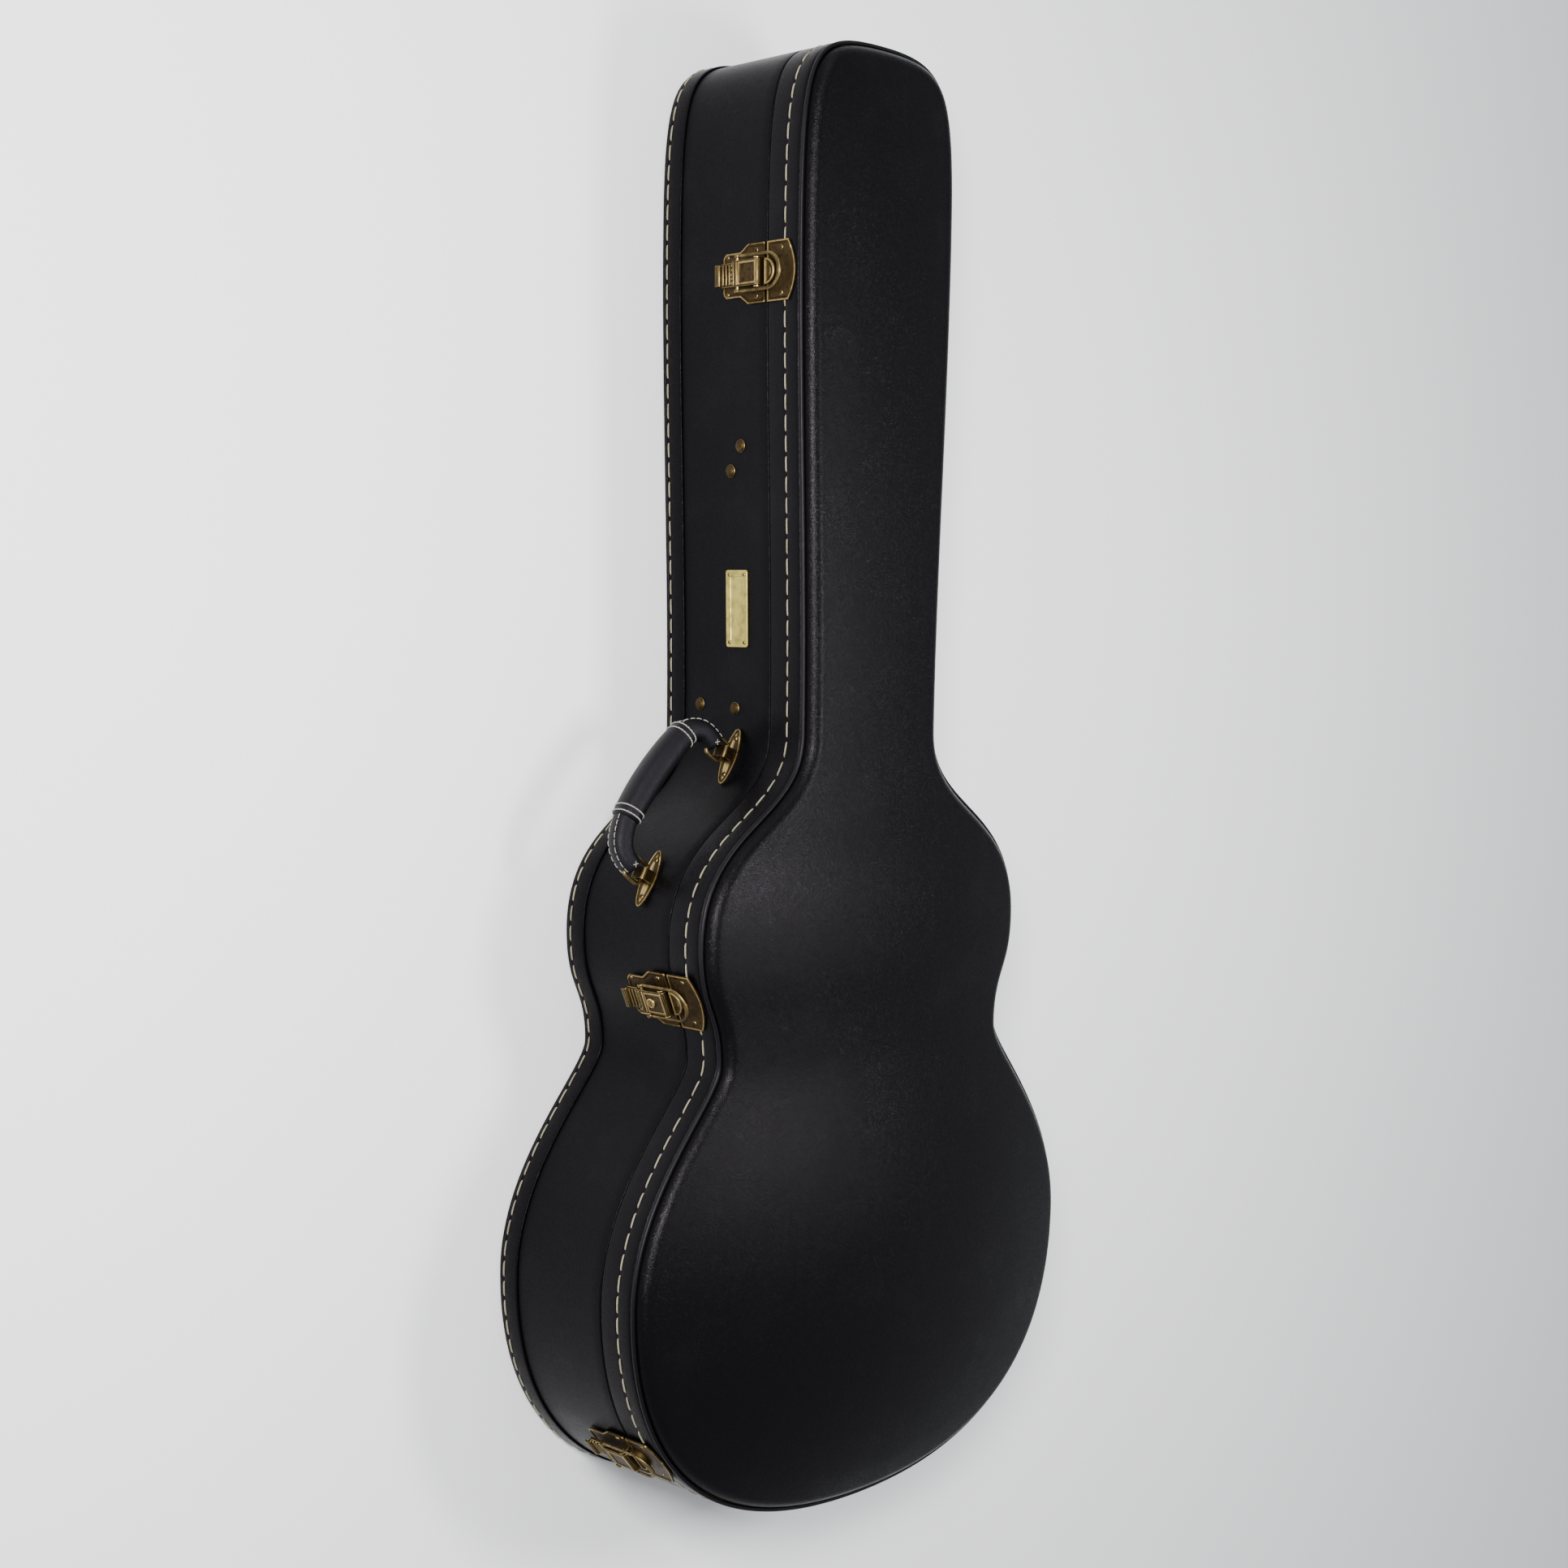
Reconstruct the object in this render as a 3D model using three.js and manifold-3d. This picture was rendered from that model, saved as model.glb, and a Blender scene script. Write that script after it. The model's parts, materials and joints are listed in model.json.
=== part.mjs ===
// A hard-shell case for a jumbo guitar: a plywood tub and an arched lid, covered in black grained vinyl,
// with sewn edge bands, antiqued brass draw latches, a leather-wrapped handle and a plush-lined inside.
//
// The frame, in millimetres: the case lies on its back. +Z goes up through the lid, +X goes to the tail
// (the wide end), -Y is the side with the handle and the latches, +Y is the side with the hinges.
// The origin is the middle of the flat back, on the case's centre line.
import * as THREE from 'three';
import { mergeVertices } from 'three/addons/utils/BufferGeometryUtils.js';
import Module from 'manifold-3d';

const wasm = await Module();
wasm.setup();

// ---------------------------------------------------------------- driving dimensions

const caseLength = 1100;

// The outline is symmetric. Each station is a distance from the tail and a half width.
const lowerBout = { fromTail: 189, half: 233.5 };
const waist = { fromTail: 353, half: 153.3 };
const upperBout = { fromTail: 440, half: 172.5 };
const neckFoot = { fromTail: 590, half: 73 };
const headShoulder = { fromHead: 127, half: 82.6 };
// How far each curve keeps its end's direction, as a share of the run between its two stations.
const fullness = {
  tail: [0.77, 0.516],
  lowerToWaist: [0.506, 0.139],
  waistToUpper: [0.47, 0.539],
  upperToNeck: [0.595, 0.426],
  neck: [0.33, 0.33],
  head: [0.88, 0.867],
};
const outlineSteps = [8, 9, 6, 8, 2, 7]; // straight steps in each of those six curves
const fineSteps = 400; // steps a curve is measured with where something sits on it

// Heights above the back
const splitHeight = 115; // where lid and tub part
const lidEdgeHeight = 149; // top of the lid's side, at the piping
const archRise = 27; // the lid's crown above its rounded edge, at the lower bout
const splitGap = 0.8;

// Thicknesses
const gap = 0.3; // between pieces that bear on each other
const panelThick = 6;
const wallThick = 6;
const boardThick = 2.4; // the inner board, whose top edge is the lip
const lipHeight = 6;
const archThick = 4;
const liningThick = 7;
const bandThick = 1.5;
const bandHeight = 22; // the tub's sewn edge band
const pipingRadius = 1.6;
const archEdgeRadius = 8; // the rounded edge of the arched panel

// ---------------------------------------------------------------- the outline

const tailX = caseLength / 2;
const station = (s) => new THREE.Vector2(tailX - s.fromTail, s.half);

function outlineCurves() {
  const tail = new THREE.Vector2(tailX, 0);
  const head = new THREE.Vector2(-tailX, 0);
  const shoulder = new THREE.Vector2(-tailX + headShoulder.fromHead, headShoulder.half);
  const [lower, narrow, upper, neck] = [lowerBout, waist, upperBout, neckFoot].map(station);
  // Between two stations the curve leaves and arrives along the case.
  const along = (a, b, [leave, arrive]) => {
    const run = b.x - a.x;
    return new THREE.CubicBezierCurve(
      a,
      new THREE.Vector2(a.x + leave * run, a.y),
      new THREE.Vector2(b.x - arrive * run, b.y),
      b,
    );
  };
  const [tailAcross, tailAlong] = fullness.tail;
  const [headAlong, headAcross] = fullness.head;
  return [
    new THREE.CubicBezierCurve(
      tail,
      new THREE.Vector2(tailX, tailAcross * lower.y),
      new THREE.Vector2(lower.x + tailAlong * (tailX - lower.x), lower.y),
      lower,
    ),
    along(lower, narrow, fullness.lowerToWaist),
    along(narrow, upper, fullness.waistToUpper),
    along(upper, neck, fullness.upperToNeck),
    along(neck, shoulder, fullness.neck),
    new THREE.CubicBezierCurve(
      shoulder,
      new THREE.Vector2(shoulder.x - headAlong * headShoulder.fromHead, shoulder.y),
      new THREE.Vector2(-tailX, headAcross * shoulder.y),
      head,
    ),
  ];
}

// Points and outward normals all round, anticlockwise from the tail, seen from above.
function outlinePoints(steps) {
  const half = [];
  outlineCurves().forEach((curve, k) => {
    const first = k === 0 ? 0 : 1;
    for (let i = first; i <= steps[k]; i++) {
      const t = i / steps[k];
      const tangent = curve.getTangent(t);
      half.push({ p: curve.getPoint(t), n: new THREE.Vector2(tangent.y, -tangent.x) });
    }
  });
  const ends = [0, half.length - 1];
  ends.forEach((i) => half[i].n.set(Math.sign(half[i].p.x), 0));
  const mirrored = half
    .slice(1, -1)
    .reverse()
    .map(({ p, n }) => ({ p: new THREE.Vector2(p.x, -p.y), n: new THREE.Vector2(n.x, -n.y) }));
  return [...half, ...mirrored];
}

const coarse = outlinePoints(outlineSteps);
const fine = outlinePoints(outlineSteps.map(() => fineSteps));

// The outline moved inwards by `inset`, at height z.
const loop = (inset, z) => coarse.map(({ p, n }) => new THREE.Vector3(p.x - n.x * inset, p.y - n.y * inset, z));

// The furthest out that a closed line of points reaches at x.
function crossing(points, x) {
  let reach = -Infinity;
  for (let i = 0; i < points.length; i++) {
    const a = points[i];
    const b = points[(i + 1) % points.length];
    if ((a.x - x) * (b.x - x) > 0 || a.x === b.x) continue;
    reach = Math.max(reach, a.y + ((b.y - a.y) * (x - a.x)) / (b.x - a.x));
  }
  return reach;
}

// Half width of the case at x, a given inset from its side.
const insetLines = new Map();
function halfWidth(x, inset) {
  if (!insetLines.has(inset)) {
    const side = fine.filter(({ n }, i) => i <= fine.length / 2);
    insetLines.set(inset, side.map(({ p, n }) => new THREE.Vector2(p.x - n.x * inset, p.y - n.y * inset)));
  }
  return Math.max(0, crossing(insetLines.get(inset), x));
}

// ---------------------------------------------------------------- solids

function closed(positions, index) {
  const raw = new THREE.BufferGeometry();
  raw.setAttribute('position', new THREE.Float32BufferAttribute(positions, 3));
  raw.setIndex(index);
  const merged = mergeVertices(raw, 1e-4);
  const kept = [];
  for (let i = 0; i < merged.index.count; i += 3) {
    const [a, b, c] = [0, 1, 2].map((k) => merged.index.getX(i + k));
    if (a !== b && b !== c && c !== a) kept.push(a, b, c);
  }
  merged.setIndex(kept);
  return merged;
}

// Joins loops of equal length into one skin. `ends` is 'ring' where the last loop joins the first,
// 'caps' where both ends are flat, and 'seams' where each end loop has collapsed onto a line.
function loft(loops, ends) {
  const count = loops[0].length;
  const index = [];
  const strips = ends === 'ring' ? loops.length : loops.length - 1;
  for (let k = 0; k < strips; k++) {
    const a = k * count;
    const b = ((k + 1) % loops.length) * count;
    for (let i = 0; i < count; i++) {
      const j = (i + 1) % count;
      index.push(a + i, a + j, b + j, a + i, b + j, b + i);
    }
  }
  if (ends === 'caps') {
    const last = (loops.length - 1) * count;
    const flat = (pts) => THREE.ShapeUtils.triangulateShape(pts.map((p) => new THREE.Vector2(p.x, p.y)), []);
    flat(loops[0]).forEach(([a, b, c]) => index.push(a, c, b));
    flat(loops.at(-1)).forEach(([a, b, c]) => index.push(last + a, last + b, last + c));
  }
  return closed(loops.flat().flatMap((p) => [p.x, p.y, p.z]), index);
}

function manifoldOf(geometry) {
  const bare = geometry.clone();
  bare.deleteAttribute('normal');
  bare.deleteAttribute('uv');
  const merged = mergeVertices(bare, 1e-4);
  return new wasm.Manifold(
    new wasm.Mesh({
      numProp: 3,
      vertProperties: merged.attributes.position.array,
      triVerts: new Uint32Array(merged.index.array),
    }),
  );
}

function geometryOf(manifold) {
  const made = manifold.getMesh();
  const geometry = new THREE.BufferGeometry();
  geometry.setAttribute('position', new THREE.BufferAttribute(made.vertProperties, 3));
  geometry.setIndex(new THREE.BufferAttribute(made.triVerts, 1));
  return geometry;
}

const join = (...parts) => geometryOf(parts.map(manifoldOf).reduce((a, b) => a.add(b)));
const cut = (from, ...tools) => geometryOf(tools.map(manifoldOf).reduce((a, b) => a.subtract(b), manifoldOf(from)));

const box = (x0, x1, y0, y1, z0, z1) =>
  new THREE.BoxGeometry(x1 - x0, y1 - y0, z1 - z0).translate((x0 + x1) / 2, (y0 + y1) / 2, (z0 + z1) / 2);

// A round bar along x, from x0 to x1.
const barX = (radius, x0, x1, y, z, sides = 12) =>
  new THREE.CylinderGeometry(radius, radius, x1 - x0, sides).rotateZ(Math.PI / 2).translate((x0 + x1) / 2, y, z);

// A flat shape given in x and y, from z0 to z1.
const plate = (shape, z0, z1, steps = 6) =>
  new THREE.ExtrudeGeometry(shape, { depth: z1 - z0, bevelEnabled: false, curveSegments: steps }).translate(
    0,
    0,
    z0,
  );

// A flat shape given in y and z (drawn as x and y), from x0 to x1.
const slab = (shape, x0, x1, steps = 6) =>
  plate(shape, x0, x1, steps).applyMatrix4(
    new THREE.Matrix4().makeBasis(
      new THREE.Vector3(0, 1, 0),
      new THREE.Vector3(0, 0, 1),
      new THREE.Vector3(1, 0, 0),
    ),
  );

const polygon = (points) => new THREE.Shape(points.map(([x, y]) => new THREE.Vector2(x, y)));

function roundedRect(w, h, r, ShapeType = THREE.Shape) {
  const s = new ShapeType();
  s.moveTo(-w / 2 + r, -h / 2);
  s.lineTo(w / 2 - r, -h / 2);
  s.absarc(w / 2 - r, -h / 2 + r, r, -Math.PI / 2, 0, false);
  s.lineTo(w / 2, h / 2 - r);
  s.absarc(w / 2 - r, h / 2 - r, r, 0, Math.PI / 2, false);
  s.lineTo(-w / 2 + r, h / 2);
  s.absarc(-w / 2 + r, h / 2 - r, r, Math.PI / 2, Math.PI, false);
  s.lineTo(-w / 2, -h / 2 + r);
  s.absarc(-w / 2 + r, -h / 2 + r, r, Math.PI, 1.5 * Math.PI, false);
  return s;
}

const vinyl = new THREE.MeshStandardMaterial({ color: 0x17171a, roughness: 0.55, metalness: 0 });
const plywood = new THREE.MeshStandardMaterial({ color: 0xb08a5a, roughness: 0.7, metalness: 0 });
const plush = new THREE.MeshStandardMaterial({ color: 0x4a1a24, roughness: 0.95, metalness: 0 });
const brass = new THREE.MeshStandardMaterial({ color: 0x7a6238, roughness: 0.4, metalness: 0.9 });
const brightBrass = new THREE.MeshStandardMaterial({ color: 0xb5a55c, roughness: 0.35, metalness: 0.8 });
const leather = new THREE.MeshStandardMaterial({ color: 0x1b1b1f, roughness: 0.5, metalness: 0 });

const guitarCase = new THREE.Group();

function add(name, geometry, material, parent = guitarCase) {
  const mesh = new THREE.Mesh(geometry, material);
  mesh.name = name;
  parent.add(mesh);
  return mesh;
}

// ---------------------------------------------------------------- places on the side of the case

// A frame on the side wall, `fromTail` along the case: x along the wall, y up to the lid, z outwards.
// It is lifted until a flat plate that reaches `reach` each way just clears the curved wall.
function wallFrame(fromTail, height, reach, side = -1) {
  const x = tailX - fromTail;
  const half = fine.slice(1, fine.length / 2).filter(({ n }) => n.y > 0);
  const { p, n } = half.reduce((best, s) => (Math.abs(s.p.x - x) < Math.abs(best.p.x - x) ? s : best));
  const at = new THREE.Vector2(p.x, side * p.y);
  const out = new THREE.Vector2(n.x, side * n.y);
  const onSides = coarse.flatMap((s, i) => {
    const next = coarse[(i + 1) % coarse.length].p;
    return Array.from({ length: 20 }, (_, k) => s.p.clone().lerp(next, k / 20));
  });
  const lifts = onSides
    .map((q) => q.clone().sub(at))
    .filter((d) => Math.abs(d.cross(out)) <= reach + 1 && d.length() < 2 * reach)
    .map((d) => d.dot(out));
  const lift = Math.max(0, ...lifts) + gap;
  const frame = new THREE.Group();
  const z = new THREE.Vector3(out.x, out.y, 0);
  const y = new THREE.Vector3(0, 0, 1);
  const basis = new THREE.Matrix4().makeBasis(new THREE.Vector3().crossVectors(y, z), y, z);
  frame.applyMatrix4(basis.setPosition(at.x + z.x * lift, at.y + z.y * lift, height));
  guitarCase.add(frame);
  frame.updateMatrixWorld(true);
  return frame;
}

// ---------------------------------------------------------------- the tub

const side = {
  board: wallThick + gap, // inset of the inner board's outer face
  lining: wallThick + gap + boardThick + gap,
};
const tubTop = splitHeight - splitGap / 2;
const lidBottom = splitHeight + splitGap / 2;
const liningFloor = panelThick + gap + liningThick;
const pipingInset = 0.9;
const panelInset = pipingInset + pipingRadius + 0.2;

// A wall between two insets and two heights.
const wall = (outer, inner, z0, z1) =>
  loft([loop(outer, z0), loop(outer, z1), loop(inner, z1), loop(inner, z0)], 'ring');

function piping(inset, z, sides = 5) {
  const loops = [];
  for (let k = 0; k < sides; k++) {
    const a = Math.PI / 2 - ((k + 0.5) * 2 * Math.PI) / sides;
    loops.push(loop(inset - pipingRadius * Math.cos(a), z + pipingRadius * Math.sin(a)));
  }
  return loft(loops.reverse(), 'ring');
}

// Brass-headed nails through the side wall hold the neck cradle and the compartment wall.
const nail = { headRadius: 5, headHeight: 2.4, shankRadius: 1.6, shankLength: 5 };
const nails = [
  { fromTail: 803, height: 85.5 },
  { fromTail: 784, height: 74.5 },
  { fromTail: 608, height: 39 },
  { fromTail: 606, height: 77.5 },
];
const nailFrames = [-1, 1].flatMap((s) => nails.map((n) => wallFrame(n.fromTail, n.height, nail.headRadius, s)));

function nailGeometry() {
  const points = [new THREE.Vector2(0, -nail.shankLength), new THREE.Vector2(nail.shankRadius, -nail.shankLength)];
  points.push(new THREE.Vector2(nail.shankRadius, 0));
  for (let k = 0; k <= 3; k++) {
    const a = (k * Math.PI) / 6;
    points.push(new THREE.Vector2(nail.headRadius * Math.cos(a), nail.headHeight * Math.sin(a)));
  }
  points.at(-1).x = 0;
  return new THREE.LatheGeometry(points, 10).rotateX(Math.PI / 2);
}

function sideWall() {
  const holes = nailFrames.map((frame) =>
    new THREE.CylinderGeometry(nail.shankRadius + gap, nail.shankRadius + gap, 2 * wallThick + 4, 10)
      .rotateX(Math.PI / 2)
      .applyMatrix4(frame.matrixWorld),
  );
  return cut(wall(0, wallThick, panelThick, tubTop), ...holes);
}

add('back_panel', loft([loop(panelInset, 0), loop(panelInset, panelThick)], 'caps'), vinyl);
add('side_wall', sideWall(), vinyl);
add('back_piping', piping(pipingInset, pipingRadius + 0.8), vinyl);
add('back_band', wall(-gap - bandThick, -gap, 2 * pipingRadius + 1.2, bandHeight), vinyl);
add('inner_board', wall(side.board, side.board + boardThick, panelThick, splitHeight + lipHeight), plywood);
add(
  'tub_lining',
  loft(
    [
      loop(side.lining, panelThick + gap),
      loop(side.lining, tubTop),
      loop(side.lining + liningThick, tubTop),
      loop(side.lining + liningThick, liningFloor),
    ],
    'caps',
  ),
  plush,
);
nailFrames.forEach((frame, k) => add(`side_nail_${k + 1}`, nailGeometry(), brass, frame));

// ---------------------------------------------------------------- inside the tub

const cradle = { fromTail: 793, thick: 30, height: splitHeight - 5, notchHalf: 30, notchHeight: splitHeight - 22 };
const compartment = {
  wallFromTail: 607,
  wallThick: 8,
  wallTop: 90,
  flapThick: 6,
  flapTop: 62,
  flapHalf: 40,
  ledge: 6,
};
const insideHalf = (x0, x1) => Math.min(...[x0, x1].map((x) => halfWidth(x, side.lining + liningThick + gap)));

function neckCradle() {
  const x0 = tailX - cradle.fromTail - cradle.thick / 2;
  const x1 = x0 + cradle.thick;
  const half = insideHalf(x0, x1);
  const z0 = liningFloor + gap;
  const notch = new THREE.Shape();
  notch.moveTo(-half, z0);
  notch.lineTo(half, z0);
  notch.lineTo(half, cradle.height);
  notch.lineTo(cradle.notchHalf + 4, cradle.height);
  notch.quadraticCurveTo(cradle.notchHalf, cradle.notchHeight, cradle.notchHalf - 14, cradle.notchHeight);
  notch.lineTo(14 - cradle.notchHalf, cradle.notchHeight);
  notch.quadraticCurveTo(-cradle.notchHalf, cradle.notchHeight, -cradle.notchHalf - 4, cradle.height);
  notch.lineTo(-half, cradle.height);
  return slab(notch, x0, x1, 4);
}

const compartmentWallX = tailX - compartment.wallFromTail;
const compartmentX0 = tailX - cradle.fromTail + cradle.thick / 2 + gap;
const compartmentX1 = compartmentWallX - compartment.wallThick / 2 - gap;
const compartmentHalf = insideHalf(compartmentX0, compartmentX1);
const flapBottom = compartment.flapTop - compartment.flapThick;

// The padded rails beside the flap each have a ledge that it lies on.
function compartmentRail(s) {
  const { flapHalf, flapTop, ledge } = compartment;
  const z0 = liningFloor + gap;
  const ledgeTop = flapBottom - gap;
  const corners = [
    [compartmentHalf, z0],
    [compartmentHalf, flapTop],
    [flapHalf + gap, flapTop],
    [flapHalf + gap, ledgeTop],
    [flapHalf - ledge, ledgeTop],
    [flapHalf - ledge, z0],
  ];
  return slab(polygon(corners.map(([y, z]) => [s * y, z])), compartmentX0, compartmentX1);
}

add('neck_cradle', neckCradle(), plush);
add(
  'compartment_wall',
  box(
    compartmentX1 + gap,
    compartmentX1 + gap + compartment.wallThick,
    -compartmentHalf,
    compartmentHalf,
    liningFloor + gap,
    compartment.wallTop,
  ),
  plush,
);
add('compartment_rail_left', compartmentRail(1), plush);
add('compartment_rail_right', compartmentRail(-1), plush);
add(
  'compartment_flap',
  box(
    compartmentX0 + gap,
    compartmentX1 - gap,
    -compartment.flapHalf,
    compartment.flapHalf,
    flapBottom,
    compartment.flapTop,
  ),
  plush,
);
const ribbon = { width: 12, length: 30, thick: 1 };
add(
  'flap_ribbon',
  box(
    (compartmentX0 + compartmentX1 - ribbon.width) / 2,
    (compartmentX0 + compartmentX1 + ribbon.width) / 2,
    -compartment.flapHalf,
    ribbon.length - compartment.flapHalf,
    compartment.flapTop + gap,
    compartment.flapTop + gap + ribbon.thick,
  ),
  plush,
);

// ---------------------------------------------------------------- the lid

const lidBand = { outer: 0, inner: bandThick };
const lipClearance = 0.5;
const lidWall = { outer: bandThick + gap, inner: side.board - lipClearance };
const lidPipingHeight = lidEdgeHeight - 0.7;
const lidWallTop = lidEdgeHeight - 2;
const archInset = lidWall.outer + 1.2; // inset of the arched panel's upright edge
const archFoot = lidEdgeHeight + 1; // where the upright edge turns into the rounded one
const archEdge = { inset: archInset + archEdgeRadius, height: archFoot + archEdgeRadius };
const archCurve = archRise / (lowerBout.half - archEdge.inset) ** 2;
const spine = { head: -tailX + headShoulder.half, tail: tailX - lowerBout.fromTail };

// Height of the arch's top at (x, y), inside its rounded edge.
const archTop = (x, y) => archEdge.height + archCurve * Math.max(0, halfWidth(x, archEdge.inset) ** 2 - y * y);

// A loop on the arch: share 0 is a ring at `inset`, and share 1 has collapsed onto the centre line.
function archLoop(inset, share, drop) {
  return loop(inset, 0).map((p) => {
    const centre = THREE.MathUtils.clamp(p.x, spine.head, spine.tail);
    const x = THREE.MathUtils.lerp(p.x, centre, share);
    const y = share === 1 ? 0 : p.y * (1 - share);
    return new THREE.Vector3(x, y, archTop(x, y) - drop);
  });
}

function archPanel() {
  const under = archInset + archThick;
  const mid = archEdgeRadius * (1 - Math.SQRT1_2);
  return loft(
    [
      archLoop(archEdge.inset, 1, archThick),
      archLoop(archEdge.inset + 2, 0.5, archThick),
      archLoop(archEdge.inset + 2, 0, archThick),
      loop(under, archFoot),
      loop(under, lidWallTop),
      loop(archInset, lidWallTop),
      loop(archInset, archFoot),
      loop(archInset + mid, archEdge.height - mid),
      archLoop(archEdge.inset, 0, 0),
      archLoop(archEdge.inset, 0.33, 0),
      archLoop(archEdge.inset, 0.67, 0),
      archLoop(archEdge.inset, 1, 0),
    ],
    'seams',
  );
}

function lidLining() {
  const outer = lidWall.inner + gap;
  const inner = outer + liningThick;
  const bottom = splitHeight + lipHeight + 2;
  const under = archThick + gap;
  const skirtTop = lidWallTop - gap;
  return loft(
    [
      archLoop(archEdge.inset, 1, under + liningThick),
      archLoop(inner, 0.5, under + liningThick),
      loop(inner, skirtTop - 2),
      loop(inner, bottom),
      loop(outer, bottom),
      loop(outer, skirtTop),
      loop(archInset + archThick + gap, skirtTop),
      archLoop(archEdge.inset + 2.5, 0, under + 0.4),
      archLoop(archEdge.inset + 2.5, 0.5, under + 0.4),
      archLoop(archEdge.inset + 2.5, 1, under + 0.4),
    ],
    'seams',
  );
}

add('lid_arch_panel', archPanel(), vinyl);
add('lid_side_wall', wall(lidWall.outer, lidWall.inner, lidBottom, lidWallTop), plywood);
add('lid_band', wall(lidBand.outer, lidBand.inner, lidBottom, lidPipingHeight - pipingRadius - 0.2), vinyl);
add('lid_piping', piping(1.2, lidPipingHeight), vinyl);
add('lid_lining', lidLining(), plush);

// ---------------------------------------------------------------- draw latches

// In a latch's frame y is measured from the split between tub and lid, and z from the wall.
const latchPlate = { length: 45, wide: 22, narrow: 16.5, thick: 1.4 };
const leverPin = { y: -4.8, z: 5.6, radius: 1.2 };
const clawPin = { y: -24.5, z: 6.6, radius: 1.1 };
const lever = {
  half: 9.5,
  nose: 3.7,
  top: 9,
  bottom: 4.2,
  bodyEnd: -29,
  tabStart: -44.5,
  end: -51,
  tabTop: 5.6,
};
const claw = { inner: lever.half + 2, outer: lever.half + 4.5, archCentre: 7, bottom: 5.4, top: 7.8, eye: 2.6 };
const boss = { half: lever.half + 0.3, foot: 2.4, top: 5 };
const keeper = { half: 22, corner: 23, middle: 30, thick: 1.4 };
const ear = { inner: lever.half + 0.4, outer: claw.inner - 0.4 };
const lockPlug = { y: -16, radius: 4, depth: 3, proud: 0.8, slotWidth: 1, slotLength: 5 };

function latchPlateGeometry() {
  const { length, wide, narrow, thick } = latchPlate;
  const outline = [
    [-wide, -1],
    [-wide, -19],
    [-narrow, -27],
    [-narrow, -length + 3],
    [-narrow + 3, -length],
    [narrow - 3, -length],
    [narrow, -length + 3],
    [narrow, -27],
    [wide, -19],
    [wide, -1],
  ];
  const cheek = new THREE.Shape();
  cheek.moveTo(leverPin.y - 3.4, 0);
  cheek.lineTo(leverPin.y + 3.4, 0);
  cheek.lineTo(leverPin.y + 2.8, leverPin.z);
  cheek.absarc(leverPin.y, leverPin.z, 2.8, 0, Math.PI, false);
  const ears = [
    [-ear.outer, -ear.inner],
    [ear.inner, ear.outer],
  ].map(([x0, x1]) => slab(cheek, x0, x1, 3));
  const hole = barX(leverPin.radius + gap, -wide, wide, leverPin.y, leverPin.z);
  return cut(join(plate(polygon(outline), 0, thick), ...ears), hole);
}

function keeperGeometry() {
  const { half, corner, middle, thick } = keeper;
  const flange = new THREE.Shape();
  flange.moveTo(-half, 0.8);
  flange.lineTo(half, 0.8);
  flange.lineTo(half, corner);
  flange.quadraticCurveTo(0, 2 * middle - corner, -half, corner);
  const raised = new THREE.Shape();
  raised.moveTo(-boss.half, 1);
  raised.lineTo(boss.half, 1);
  raised.lineTo(boss.half, boss.foot);
  raised.absarc(0, boss.foot, boss.half, 0, Math.PI, false);
  return join(plate(flange, 0, thick, 8), plate(raised, thick / 2, boss.top, 8));
}

function leverGeometry(locking) {
  const { half, nose, top, bottom, bodyEnd, tabStart, end, tabTop } = lever;
  const profile = new THREE.Shape();
  profile.moveTo(leverPin.y - nose, bottom);
  profile.absarc(leverPin.y, leverPin.z, nose, Math.PI + 0.39, 2.5 * Math.PI - 0.4, false);
  profile.lineTo(bodyEnd, top);
  profile.lineTo(bodyEnd - 3, tabTop);
  profile.lineTo(tabStart, tabTop);
  profile.lineTo(tabStart - 1, top);
  profile.lineTo(end, top);
  profile.lineTo(end, bottom - 1);
  profile.lineTo(bodyEnd - 3, bottom - 1);
  profile.lineTo(bodyEnd, bottom);
  const tools = [
    barX(leverPin.radius + gap, -half - 1, half + 1, leverPin.y, leverPin.z),
    barX(clawPin.radius + gap, -half - 1, half + 1, clawPin.y, clawPin.z),
  ];
  if (locking) {
    tools.push(
      new THREE.CylinderGeometry(lockPlug.radius + gap, lockPlug.radius + gap, 2 * (lockPlug.depth + gap), 16)
        .rotateX(Math.PI / 2)
        .translate(0, lockPlug.y, top),
    );
  }
  return cut(slab(profile, -half, half, 6), ...tools);
}

function clawGeometry() {
  const { inner, outer, archCentre, bottom, top, eye } = claw;
  const strap = new THREE.Shape();
  strap.moveTo(outer, clawPin.y);
  strap.lineTo(outer, archCentre);
  strap.absarc(0, archCentre, outer, 0, Math.PI, false);
  strap.lineTo(-outer, clawPin.y);
  strap.lineTo(-inner, clawPin.y);
  strap.lineTo(-inner, archCentre);
  strap.absarc(0, archCentre, inner, Math.PI, 0, true);
  strap.lineTo(inner, clawPin.y);
  const eyes = [
    [-outer, -inner],
    [inner, outer],
  ].map(([x0, x1]) => barX(eye, x0, x1, clawPin.y, clawPin.z, 12));
  const hole = barX(clawPin.radius + gap, -outer - 1, outer + 1, clawPin.y, clawPin.z);
  return cut(join(plate(strap, bottom, top, 8), ...eyes), hole);
}

function lockPlugGeometry() {
  const { radius, depth, proud, slotWidth, slotLength } = lockPlug;
  const body = new THREE.CylinderGeometry(radius, radius, depth + proud, 16)
    .rotateX(Math.PI / 2)
    .translate(0, lockPlug.y, lever.top + (proud - depth) / 2);
  const slot = box(
    -slotLength / 2,
    slotLength / 2,
    lockPlug.y - slotWidth / 2,
    lockPlug.y + slotWidth / 2,
    lever.top - 1,
    lever.top + proud + 1,
  );
  return cut(body, slot);
}

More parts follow.
